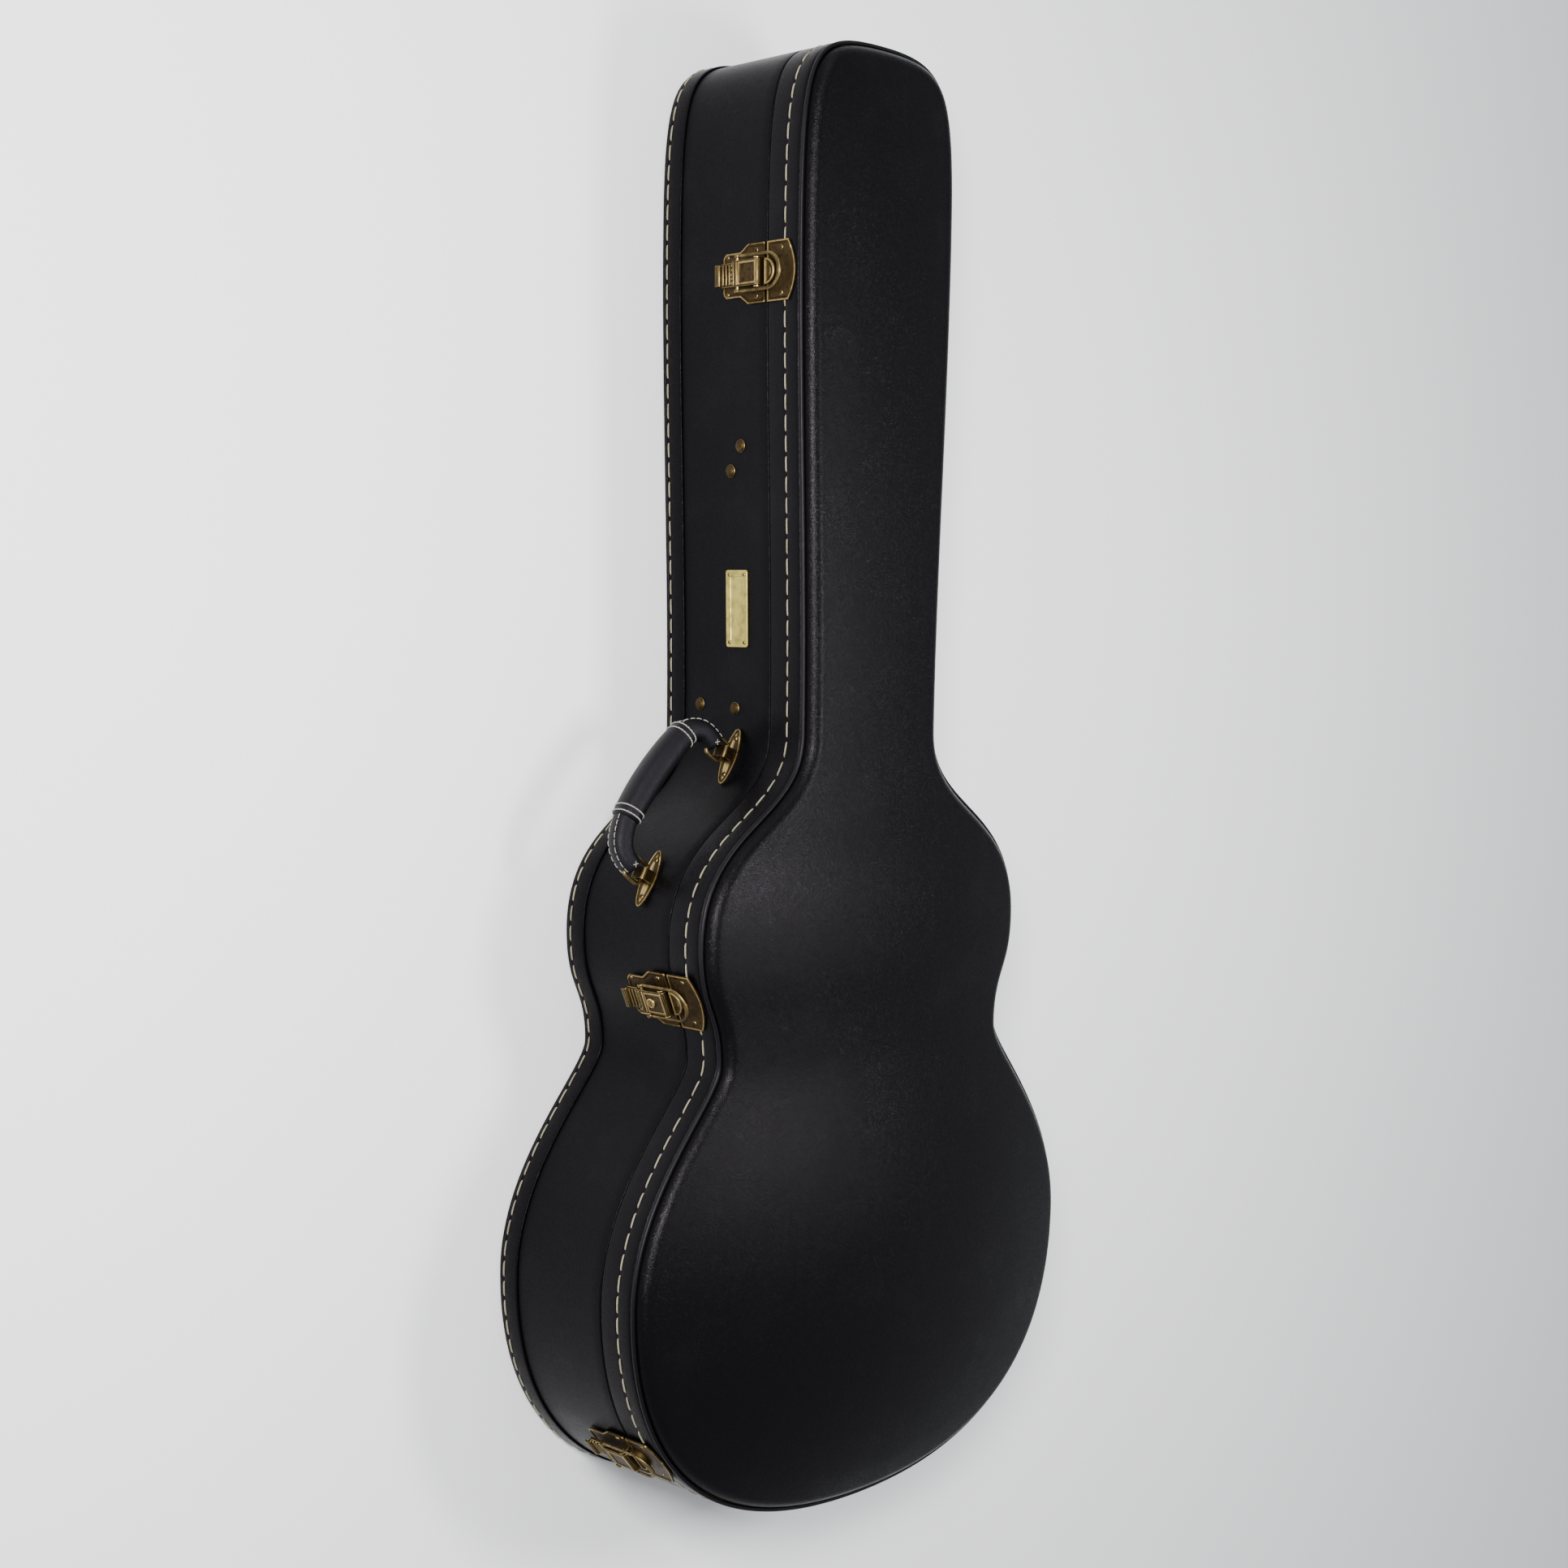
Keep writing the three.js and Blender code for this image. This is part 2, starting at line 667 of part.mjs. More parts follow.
const latches = [
  { name: 'neck', fromTail: 928, locking: false },
  { name: 'waist', fromTail: 399, locking: true },
  { name: 'tail', fromTail: 70, locking: false },
];
latches.forEach(({ name, fromTail, locking }) => {
  const frame = wallFrame(fromTail, splitHeight, latchPlate.wide);
  add(`${name}_latch_plate`, latchPlateGeometry(), brass, frame);
  add(`${name}_latch_keeper`, keeperGeometry(), brass, frame);
  add(`${name}_latch_lever`, leverGeometry(locking), brass, frame);
  add(`${name}_latch_claw`, clawGeometry(), brass, frame);
  add(`${name}_lever_pin`, barX(leverPin.radius, -ear.outer, ear.outer, leverPin.y, leverPin.z, 10), brass, frame);
  add(`${name}_claw_pin`, barX(clawPin.radius, -claw.outer, claw.outer, clawPin.y, clawPin.z, 10), brass, frame);
  if (locking) add('lock_plug', lockPlugGeometry(), brightBrass, frame);
});

// ---------------------------------------------------------------- hinges

// The hinge pins share one straight line, a little way out from the tangent that touches the lower bout and
// the head, so that nothing of the case lies beyond it. The upper bout's leaves reach out to it.
const hinge = { half: 18, knuckle: 3, axisOut: 5.4, leafThick: 1.4, leafHeight: 19, middleHalf: 6, pinRadius: 1.2 };

function hingeLine() {
  const edge = fine.filter(({ n }) => n.y > 0).map(({ p }) => p);
  const stretches = [
    [-tailX, station(neckFoot).x],
    [station(neckFoot).x, station(waist).x],
    [station(waist).x, tailX],
  ];
  let out = new THREE.Vector2(0, 1);
  let touching = [];
  for (let round = 0; round < 6; round++) {
    touching = stretches.map(([from, to]) =>
      edge.filter((p) => p.x > from && p.x < to).reduce((a, c) => (c.dot(out) > a.dot(out) ? c : a)),
    );
    const run = touching[2].clone().sub(touching[0]);
    out = new THREE.Vector2(-run.y, run.x).normalize();
  }
  return { touching, out, along: new THREE.Vector2(out.y, -out.x) };
}

const { touching, out: hingeOut, along: hingeAlong } = hingeLine();
const hingeOrigin = touching[2].clone().addScaledVector(hingeOut, hinge.axisOut);
const hingePlaces = touching.map((p) => p.clone().sub(hingeOrigin).dot(hingeAlong));

// In this frame x runs along the pins towards the tail, y points out of the case and z up.
const hingeFrame = new THREE.Group();
hingeFrame.applyMatrix4(
  new THREE.Matrix4()
    .makeBasis(
      new THREE.Vector3(hingeAlong.x, hingeAlong.y, 0),
      new THREE.Vector3(hingeOut.x, hingeOut.y, 0),
      new THREE.Vector3(0, 0, 1),
    )
    .setPosition(hingeOrigin.x, hingeOrigin.y, splitHeight),
);
guitarCase.add(hingeFrame);

// Where the side of the case lies, seen from the hinge line: y at x in the frame above.
const sidesSeen = [fine, coarse].map((points) =>
  points.map(({ p }) => {
    const d = p.clone().sub(hingeOrigin);
    return new THREE.Vector2(d.dot(hingeAlong), d.dot(hingeOut));
  }),
);
const sideAt = (x) => Math.max(...sidesSeen.map((seen) => crossing(seen, x)));

// A leaf that follows the curved wall, with a shelf that reaches out to its knuckles.
// `way` is 1 for the lid's leaf and -1 for the tub's.
function hingeLeaf(x, way) {
  const { half, middleHalf, knuckle, leafThick, leafHeight } = hinge;
  const steps = Array.from({ length: 13 }, (_, k) => x + (k / 6 - 1) * half);
  const face = steps.map((at) => [at, sideAt(at) + gap]);
  const back = steps.map((at) => [at, sideAt(at) + gap + leafThick]).reverse();
  const z0 = way * (splitGap / 2 + 1);
  const level = (shape, depth) => plate(shape, Math.min(z0, z0 + way * depth), Math.max(z0, z0 + way * depth));
  const shelf = (from, to, reach) => {
    const inner = steps.filter((at) => at > from && at < to).map((at) => [at, sideAt(at) + gap]);
    inner.unshift([from, sideAt(from) + gap]);
    inner.push([to, sideAt(to) + gap]);
    return level(polygon([...inner, [to, reach], [from, reach]]), 1.8);
  };
  const own = way > 0 ? [[-middleHalf, middleHalf]] : [[-half, -middleHalf - gap], [middleHalf + gap, half]];
  const knuckles = own.flatMap(([a, c]) => [shelf(x + a, x + c, 0), barX(knuckle, x + a, x + c, 0, 0)]);
  const web = -knuckle - 0.5;
  const parts = [level(polygon([...face, ...back]), leafHeight), ...knuckles];
  if (sideAt(x) + gap < web - 1) parts.push(shelf(x - half, x + half, web));
  const bore = barX(hinge.pinRadius + gap, x - half - 1, x + half + 1, 0, 0);
  return cut(join(...parts), bore);
}

['head', 'upper', 'lower'].forEach((name, k) => {
  const x = hingePlaces[k];
  const pin = barX(hinge.pinRadius, x - hinge.half, x + hinge.half, 0, 0, 10);
  add(`${name}_hinge_tub_leaf`, hingeLeaf(x, -1), brass, hingeFrame);
  add(`${name}_hinge_lid_leaf`, hingeLeaf(x, 1), brass, hingeFrame);
  add(`${name}_hinge_pin`, pin, brass, hingeFrame);
});

// ---------------------------------------------------------------- name plate

const namePlate = { fromTail: 683, height: 80.5, length: 58, width: 23, thick: 1.2, border: 2.5 };
{
  const { length, width, thick, border } = namePlate;
  const frame = wallFrame(namePlate.fromTail, namePlate.height, length / 2);
  const panel = roundedRect(length - 6 * border, width - 4 * border, 1.5);
  add(
    'name_plate',
    cut(plate(roundedRect(length, width, 1.5), 0, thick, 3), plate(panel, thick - 0.4, thick + 1, 3)),
    brightBrass,
    frame,
  );
}

// ---------------------------------------------------------------- handle

const handleHeight = 83;
const handlePlate = { length: 45, width: 15, thick: 1.4, bridgeHalf: 4.5, bridgeWide: 6.4, bridgeWall: 1.6 };
const pivotOut = 7.2; // from a handle plate's back to the handle's pivot
const handleTilt = THREE.MathUtils.degToRad(15); // it leans this far towards the back of the case
const link = { bar: 3, innerHalf: 7, reach: 14 };
const grip = { half: 43.5, shift: -8, wide: 25, high: 22, out: 38 }; // shift is its middle's, towards the head
const core = { wide: 17, thick: 9, endHalf: 11 };

const handlePlaces = [
  { name: 'head', fromTail: 567.5 },
  { name: 'tail', fromTail: 483 },
].map((place) => {
  const frame = wallFrame(place.fromTail, handleHeight, handlePlate.length / 2);
  return { ...place, frame, pivot: new THREE.Vector3(0, 0, pivotOut).applyMatrix4(frame.matrixWorld) };
});

function handlePlateGeometry() {
  const { length, width, thick, bridgeHalf, bridgeWide, bridgeWall } = handlePlate;
  const oval = new THREE.Shape();
  oval.absellipse(0, 0, length / 2, width / 2, 0, 2 * Math.PI);
  const roof = pivotOut + 4.3;
  const arch = polygon([
    [-bridgeWide, thick / 2],
    [-bridgeWide, roof],
    [-bridgeWide + bridgeWall, roof + bridgeWall],
    [bridgeWide - bridgeWall, roof + bridgeWall],
    [bridgeWide, roof],
    [bridgeWide, thick / 2],
    [bridgeWide - bridgeWall, thick / 2],
    [bridgeWide - bridgeWall, roof],
    [-bridgeWide + bridgeWall, roof],
    [-bridgeWide + bridgeWall, thick / 2],
  ]);
  return join(plate(oval, 0, thick, 20), slab(arch, -bridgeHalf, bridgeHalf));
}
handlePlaces.forEach(({ name, frame }) => add(`handle_plate_${name}`, handlePlateGeometry(), brass, frame));

// The handle's frame: x along its pivot from the head plate to the tail plate, z the way it stands out.
const handleFrame = new THREE.Group();
const pivots = handlePlaces.map(({ pivot }) => pivot);
const handleSpan = pivots[0].distanceTo(pivots[1]);
{
  const x = pivots[1].clone().sub(pivots[0]).normalize();
  const level = new THREE.Vector3().crossVectors(x, new THREE.Vector3(0, 0, 1));
  const z = level.clone().applyAxisAngle(x, handleTilt);
  if (z.z > 0) z.copy(level).applyAxisAngle(x, -handleTilt);
  const basis = new THREE.Matrix4().makeBasis(x, new THREE.Vector3().crossVectors(z, x), z);
  handleFrame.applyMatrix4(basis.setPosition(pivots[0].clone().add(pivots[1]).divideScalar(2)));
  guitarCase.add(handleFrame);
}

// Shapes of the handle are drawn in its x and z, and are `wide` across.
const across = (shape, wide, steps = 6) =>
  plate(shape, -wide / 2, wide / 2, steps).applyMatrix4(
    new THREE.Matrix4().makeBasis(
      new THREE.Vector3(1, 0, 0),
      new THREE.Vector3(0, 0, 1),
      new THREE.Vector3(0, -1, 0),
    ),
  );

// A flat ring through the plate's bridge and the end of the leather. `grow` swells it, as a cutting tool.
function linkShape(grow) {
  const { bar, innerHalf, reach } = link;
  const [low, high] = [-bar / 2 - grow, reach + bar / 2 + grow];
  const outerHalf = innerHalf + bar + grow;
  const shape = polygon([[-outerHalf, low], [outerHalf, low], [outerHalf, high], [-outerHalf, high]]);
  const holeHalf = innerHalf - grow;
  const [holeLow, holeHigh] = [bar / 2 + grow, reach - bar / 2 - grow];
  shape.holes.push(
    new THREE.Path(
      [[-holeHalf, holeLow], [-holeHalf, holeHigh], [holeHalf, holeHigh], [holeHalf, holeLow]].map(
        ([x, y]) => new THREE.Vector2(x, y),
      ),
    ),
  );
  return shape;
}

function coreGeometry() {
  const end = handleSpan / 2;
  const { out } = grip;
  const { thick, endHalf } = core;
  const foot = link.reach - link.bar / 2 - 3;
  const [low, high] = [out - thick / 2, out + thick / 2];
  const [left, right] = [grip.shift - grip.half, grip.shift + grip.half];
  const profile = new THREE.Shape();
  profile.moveTo(-end - endHalf, foot);
  profile.lineTo(-end + endHalf, foot);
  profile.quadraticCurveTo(-end + endHalf, foot + 11, left - 1, out - grip.high / 2 - 1);
  profile.lineTo(left - 1, low);
  profile.lineTo(right + 1, low);
  profile.quadraticCurveTo(end - endHalf - 1, low - 6, end - endHalf, foot);
  profile.lineTo(end + endHalf, foot);
  profile.bezierCurveTo(end + endHalf, out * 0.62, end - 2, high, right, high);
  profile.lineTo(left, high);
  profile.bezierCurveTo(left - 8, high, -end - endHalf, out * 0.8, -end - endHalf, foot);
  const slots = [-end, end].map((x) => across(linkShape(gap), link.bar + 2 * gap).translate(x, 0, 0));
  return cut(across(profile, core.wide, 6), ...slots);
}

function gripGeometry() {
  const { wide, high, out, half, shift } = grip;
  const section = new THREE.Shape();
  section.absellipse(0, out, wide / 2, high / 2, 0, 2 * Math.PI);
  const [w, h] = [core.wide / 2 + gap, core.thick / 2 + gap];
  const corners = [[-w, out - h], [-w, out + h], [w, out + h], [w, out - h]];
  section.holes.push(new THREE.Path(corners.map(([x, y]) => new THREE.Vector2(x, y))));
  return slab(section, shift - half, shift + half, 16);
}

add('handle_core', coreGeometry(), leather, handleFrame);
add('handle_grip', gripGeometry(), leather, handleFrame);
handlePlaces.forEach(({ name }, k) => {
  const x = (k - 0.5) * handleSpan;
  add(`handle_link_${name}`, across(linkShape(0), link.bar).translate(x, 0, 0), brass, handleFrame);
});

export default guitarCase;
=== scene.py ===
import bpy
import bmesh
import json
import math
import random
from mathutils import Matrix, Vector, noise


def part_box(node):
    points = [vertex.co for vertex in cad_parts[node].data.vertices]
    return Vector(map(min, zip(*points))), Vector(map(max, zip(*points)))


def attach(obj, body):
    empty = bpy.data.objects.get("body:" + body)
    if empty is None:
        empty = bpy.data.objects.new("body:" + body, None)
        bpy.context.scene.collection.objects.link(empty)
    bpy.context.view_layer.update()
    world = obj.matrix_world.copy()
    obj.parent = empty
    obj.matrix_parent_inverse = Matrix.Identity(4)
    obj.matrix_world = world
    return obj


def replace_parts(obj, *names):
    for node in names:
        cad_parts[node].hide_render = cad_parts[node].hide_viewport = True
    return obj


# A guitar case: grained black vinyl over plywood, sewn bands, antiqued brass, a leather handle and a plush inside.
# The case lies on its back. +Z is up through the lid, +X is the wide tail, -Y has the handle and the latches.
# Sizes in the dictionaries are in millimetres and degrees.

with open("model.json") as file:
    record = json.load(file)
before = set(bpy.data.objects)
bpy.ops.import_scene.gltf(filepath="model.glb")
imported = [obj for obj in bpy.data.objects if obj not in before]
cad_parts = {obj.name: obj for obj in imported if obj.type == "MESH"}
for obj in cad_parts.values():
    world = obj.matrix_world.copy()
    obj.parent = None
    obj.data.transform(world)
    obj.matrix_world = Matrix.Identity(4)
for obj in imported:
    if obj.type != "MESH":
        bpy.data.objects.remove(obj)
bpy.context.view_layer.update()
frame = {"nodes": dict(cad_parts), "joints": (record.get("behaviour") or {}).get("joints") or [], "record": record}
scene = bpy.context.scene
joints = {joint["name"]: joint for joint in frame["joints"]}
random.seed(11)
mm = 0.001
upward = Vector((0, 0, 1))
print("frame loaded,", len(frame["nodes"]), "nodes")


def linked(name, data):
    made = bpy.data.objects.new(name, data)
    scene.collection.objects.link(made)
    return made


def boxOf(node):
    low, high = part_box(node)
    return Vector(low) / mm, Vector(high) / mm


# ---- camera, lights and floor

view = {
    "target": (0, 0, 74.6),
    "towards": (-0.0684, -0.7117, 0.6991),  # from the target to the camera
    "distance": 1807.3,
    "roll": 0.885,
    "lens": 53.1,
    "shift": (-0.0095, -0.003),
}
studio = {
    "floorColour": (0.74, 0.74, 0.75),
    "worldColour": (0.93, 0.96, 1.0),
    "worldStrength": 0.72,
    # name, place, width and height, watts; each looks at the middle of the case
    "lamps": [
        ("overheadSoftbox", (-60, 480, 1400), (420, 220), 20),
        ("cameraSoftbox", (-350, -1250, 1300), (350, 350), 75),
        ("endSoftbox", (-1500, -300, 900), (700, 900), 8),
    ],
}


def makeCamera():
    data = bpy.data.cameras.new("camera")
    data.lens = view["lens"]
    data.sensor_width = 36
    data.shift_x, data.shift_y = view["shift"]
    data.clip_start, data.clip_end = 0.05, 60
    camera = linked("camera", data)
    back = Vector(view["towards"]).normalized()
    up = Vector((-1, 0, 0))
    right = up.cross(back).normalized()
    up = back.cross(right)
    turn = Matrix((right, up, back)).transposed() @ Matrix.Rotation(math.radians(view["roll"]), 3, "Z")
    place = Vector(view["target"]) * mm + back * view["distance"] * mm
    camera.matrix_world = Matrix.Translation(place) @ turn.to_4x4()
    scene.camera = camera


def makeLights():
    world = bpy.data.worlds.new("studio")
    world.use_nodes = True
    sky = world.node_tree.nodes["Background"]
    sky.inputs["Color"].default_value = (*studio["worldColour"], 1)
    sky.inputs["Strength"].default_value = studio["worldStrength"]
    scene.world = world
    for name, place, (wide, high), watts in studio["lamps"]:
        data = bpy.data.lights.new(name, "AREA")
        data.shape = "RECTANGLE"
        data.size, data.size_y = wide * mm, high * mm
        data.energy = watts
        lamp = linked(name, data)
        lamp.location = Vector(place) * mm
        lamp.rotation_euler = (Vector(view["target"]) * mm - lamp.location).to_track_quat("-Z", "Y").to_euler()


makeCamera()
makeLights()
print("camera and lights made")


# ---- shader maths

class Wire:
    # a socket that can be used in sums, each of which adds its Math node
    def __init__(self, finish, socket):
        self.finish = finish
        self.socket = socket

    def maths(self, operation, *values):
        return self.finish.node("Math", {"operation": operation}, dict(enumerate(values)))

    def __add__(self, other):
        return self.maths("ADD", self, other)

    def __sub__(self, other):
        return self.maths("SUBTRACT", self, other)

    def __rsub__(self, other):
        return self.maths("SUBTRACT", other, self)

    def __mul__(self, other):
        return self.maths("MULTIPLY", self, other)

    __radd__ = __add__
    __rmul__ = __mul__


class Finish:
    # one material and its nodes
    def __init__(self, name, **fixed):
        self.material = bpy.data.materials.new(name)
        self.material.use_nodes = True
        self.tree = self.material.node_tree
        self.surface = self.tree.nodes["Principled BSDF"]
        for socket, value in fixed.items():
            self.surface.inputs[socket.replace("_", " ")].default_value = value
        self.spot = self.node("TexCoord", output="Object")  # where the surface is

    def node(self, kind, settings=None, values=None, output=0):
        made = self.tree.nodes.new("ShaderNode" + kind)
        for key, value in (settings or {}).items():
            setattr(made, key, value)
        for key, value in (values or {}).items():
            if isinstance(value, Wire):
                self.tree.links.new(value.socket, made.inputs[key])
            else:
                made.inputs[key].default_value = value
        return Wire(self, made.outputs[output])

    def stretched(self, scale):
        values = {"Vector": self.spot, "Scale": tuple(1 / s for s in scale)}
        return self.node("Mapping", {"vector_type": "TEXTURE"}, values)

    def noise(self, scale, detail=3, rough=0.5, place=None):
        values = {"Vector": place or self.spot, "Scale": scale, "Detail": detail, "Roughness": rough}
        return self.node("TexNoise", {}, values, output="Fac")

    def step(self, value, low, high, start=0.0, end=1.0):
        # from start to end as value goes from low to high
        values = {"Value": value, "From Min": low, "From Max": high, "To Min": start, "To Max": end}
        return self.node("MapRange", {"interpolation_type": "SMOOTHSTEP"}, values)

    def between(self, mask, first, second):
        # a colour, from first to second as mask goes from 0 to 1
        colours = [c if isinstance(c, Wire) else (*c, 1) for c in (first, second)]
        return self.node("Mix", {"data_type": "RGBA"}, {0: mask, 6: colours[0], 7: colours[1]}, output=2)

    def painted(self, colour, roughness, normal=None):
        for socket, wire in (("Base Color", colour), ("Roughness", roughness), ("Normal", normal)):
            if wire:
                self.tree.links.new(wire.socket, self.surface.inputs[socket])
        return self.material

    def bump(self, height, distance, strength=1.0, over=None):
        values = {"Height": height, "Distance": distance * mm, "Strength": strength}
        if over:
            values["Normal"] = over
        return self.node("Bump", {}, values)


# ---- finishes

vinylLook = {
    "colour": (0.0012, 0.0011, 0.0014),
    "scuffColour": (0.0026, 0.0025, 0.003),
    "grainSize": 1.2,
    "grainDepth": 0.125,
    "roughness": (0.2, 0.33),
    "shine": 0.066,
}


def grainedVinyl(name, look, waviness=0.5):
    finish = Finish(name, Specular_IOR_Level=look["shine"], Specular_Tint=(0.97, 0.9, 1, 1))
    wander = finish.node("TexNoise", {}, {"Vector": finish.spot, "Scale": 260.0, "Detail": 2.0}, output="Color")
    bent = finish.node("Mix", {"data_type": "VECTOR"}, {0: 0.0011, 4: finish.spot, 5: wander}, output=1)
    size = 1 / (look["grainSize"] * mm)
    cells = finish.node("TexVoronoi", {"feature": "DISTANCE_TO_EDGE"},
                        {"Vector": bent, "Scale": size}, output="Distance")
    pebbles = finish.step(cells, 0.0, 0.32)
    pores = finish.noise(2600.0, 2)
    creases = finish.noise(150.0, 4, 0.6, place=finish.stretched((1, 0.35, 1)))
    height = pebbles * 0.66 + pores * 0.22 + creases * 0.25
    fine = finish.bump(height, look["grainDepth"], 0.9)
    drape = finish.noise(9.0, 2)
    rubbed = finish.step(finish.noise(22.0, 5, 0.62), 0.5, 0.75)
    worn = rubbed * (pebbles * 0.6 + 0.4)
    low, high = look["roughness"]
    return finish.painted(finish.between(worn, look["colour"], look["scuffColour"]),
                          finish.step(pebbles * 0.5 + rubbed * 0.5, 0.0, 1.0, high, low),
                          finish.bump(drape, 1.4, waviness, over=fine))


pipingLook = {**vinylLook, "grainDepth": 0.07, "roughness": (0.3, 0.42), "shine": 0.12}
threadLook = {"colour": (0.2, 0.18, 0.115), "soilAndShadeColour": (0.095, 0.085, 0.055), "twist": 0.9}
paleThread = {**threadLook, "colour": (0.2, 0.19, 0.16), "soilAndShadeColour": (0.1, 0.095, 0.08)}


def sewingThread(name, look):
    finish = Finish(name, Specular_IOR_Level=0.25, Sheen_Weight=0.2)
    values = {"Vector": finish.spot, "Scale": 1 / (look["twist"] * mm) / 6, "Distortion": 1.5}
    strands = finish.node("TexWave", {"bands_direction": "DIAGONAL"}, values, output="Fac")
    soil = finish.step(finish.noise(70.0, 4), 0.42, 0.68)
    # soil is real dirt; (1 - strands) is painted shade, darkening the grooves between the twisted strands
    shade = soil * 0.55 + (1 - strands) * 0.3
    return finish.painted(finish.between(shade, look["colour"], look["soilAndShadeColour"]),
                          finish.step(soil, 0, 1, 0.75, 0.9),
                          finish.bump(strands, 0.12, 0.7))


antiqueLook = {
    "bright": (0.3, 0.22, 0.085),
    "brown": (0.036, 0.0225, 0.0085),
    "black": (0.011, 0.0072, 0.0036),
    "wear": 0.7,  # how far the edges are rubbed bright
    "roughness": (0.3, 0.55),
}


def antiqueBrass(name, look):
    finish = Finish(name, Metallic=1.0)
    edges = finish.step(finish.node("NewGeometry", output="Pointiness"), 0.5, 0.58)
    cloud = finish.noise(160.0, 5, 0.65)
    specks = finish.noise(1500.0, 3)
    rubbed = finish.step(edges * look["wear"] + cloud * 0.5 + specks * 0.12, 0.42, 1.0)
    tarnish = finish.step(finish.noise(300.0, 4), 0.5, 0.72)
    patina = finish.between(tarnish, look["brown"], look["black"])
    low, high = look["roughness"]
    return finish.painted(finish.between(rubbed, patina, look["bright"]),
                          finish.step(rubbed + specks * 0.2, 0.0, 1.1, high, low),
                          finish.bump(specks * 0.5 + cloud * 0.8, 0.12, 0.6))


rimLook = {"bright": (0.5, 0.38, 0.155), "brown": (0.2, 0.14, 0.052), "black": (0.085, 0.06, 0.024)}
brightLook = {"colour": (0.36, 0.3, 0.075), "dull": (0.19, 0.15, 0.036), "roughness": (0.32, 0.48)}


def brushedBrass(name, look):
    finish = Finish(name, Metallic=0.85)
    brushing = finish.noise(900.0, 3, 0.7, place=finish.stretched((0.06, 1, 1)))
    dulled = finish.step(finish.noise(130.0, 4), 0.42, 0.7)
    low, high = look["roughness"]
    return finish.painted(finish.between(dulled * 0.7 + brushing * 0.25, look["colour"], look["dull"]),
                          finish.step(dulled + brushing * 0.3, 0, 1.2, low, high),
                          finish.bump(brushing, 0.05, 0.5))


plushLook = {"colour": (0.066, 0.0056, 0.0115), "deep": (0.043, 0.0036, 0.0075), "pile": 1.1}


def plushPile(name, look):
    finish = Finish(name, Sheen_Weight=0.22, Sheen_Roughness=0.45, Specular_IOR_Level=0.1,
                    Sheen_Tint=(0.8, 0.2, 0.26, 1))
    pile = finish.noise(1 / (look["pile"] * mm), 3, 0.7)
    nap = finish.noise(34.0, 5, 0.7, place=finish.stretched((0.4, 1, 1)))
    # painted sheen: patches of the brushed nap made lighter and darker as the nap would catch or lose the light
    napSheen = finish.step(nap, 0.3, 0.7)
    tufts = finish.bump(pile, 0.9, 0.8)
    # painted shade: the colour is deeper between the tufts of pile, where the pile bump is low
    return finish.painted(finish.between(napSheen * 0.75 + pile * 0.25, look["deep"], look["colour"]),
                          finish.step(napSheen, 0, 1, 0.95, 0.8),
                          finish.bump(nap, 1.6, 0.35, over=tufts))


leatherLook = {
    "colour": (0.0026, 0.0026, 0.0034),
    "scuffColour": (0.006, 0.006, 0.007),
    "grainSize": 1.1,
    "grainDepth": 0.14,
    "roughness": (0.33, 0.48),
    "shine": 0.11,
}
ribbonLook = {"colour": (0.02, 0.02, 0.022), "thread": (0.05, 0.05, 0.055), "weave": 0.8}


def wovenRibbon(name, look):
    finish = Finish(name, Sheen_Weight=0.3, Specular_IOR_Level=0.3)
    scale = 1 / (look["weave"] * mm) / 6
    across = finish.node("TexWave", {"bands_direction": "X"}, {"Vector": finish.spot, "Scale": scale}, output="Fac")
    along = finish.node("TexWave", {"bands_direction": "Y"}, {"Vector": finish.spot, "Scale": scale}, output="Fac")
    weave = across * along
    # painted shade: the gaps between the threads are darker and the raised crossings lighter
    return finish.painted(finish.between(weave, look["colour"], look["thread"]),
                          finish.step(weave, 0, 1, 0.85, 0.6),
                          finish.bump(weave, 0.2, 0.8))


boardLook = {"colour": (0.21, 0.125, 0.055), "grain": (0.1, 0.052, 0.02)}


def birchPly(name, look):
    finish = Finish(name, Specular_IOR_Level=0.35)
    grain = finish.noise(60.0, 5, 0.65, place=finish.stretched((0.08, 0.08, 4)))
    plies = finish.node("TexWave", {"bands_direction": "Z"},
                        {"Vector": finish.spot, "Scale": 110.0, "Distortion": 0.6}, output="Fac")
    shade = finish.step(grain * 0.7 + plies * 0.4, 0.3, 0.8)
    return finish.painted(finish.between(shade, look["colour"], look["grain"]),
                          finish.step(grain, 0.3, 0.7, 0.75, 0.55),
                          finish.bump(grain, 0.2, 0.5))


def studioFloor(name, colour):
    finish = Finish(name, Specular_IOR_Level=0.2)
    mottle = finish.noise(3.0, 3)
    shade = tuple(c * 0.97 for c in colour)
    return finish.painted(finish.between(mottle, colour, shade), finish.step(mottle, 0, 1, 0.85, 0.9))


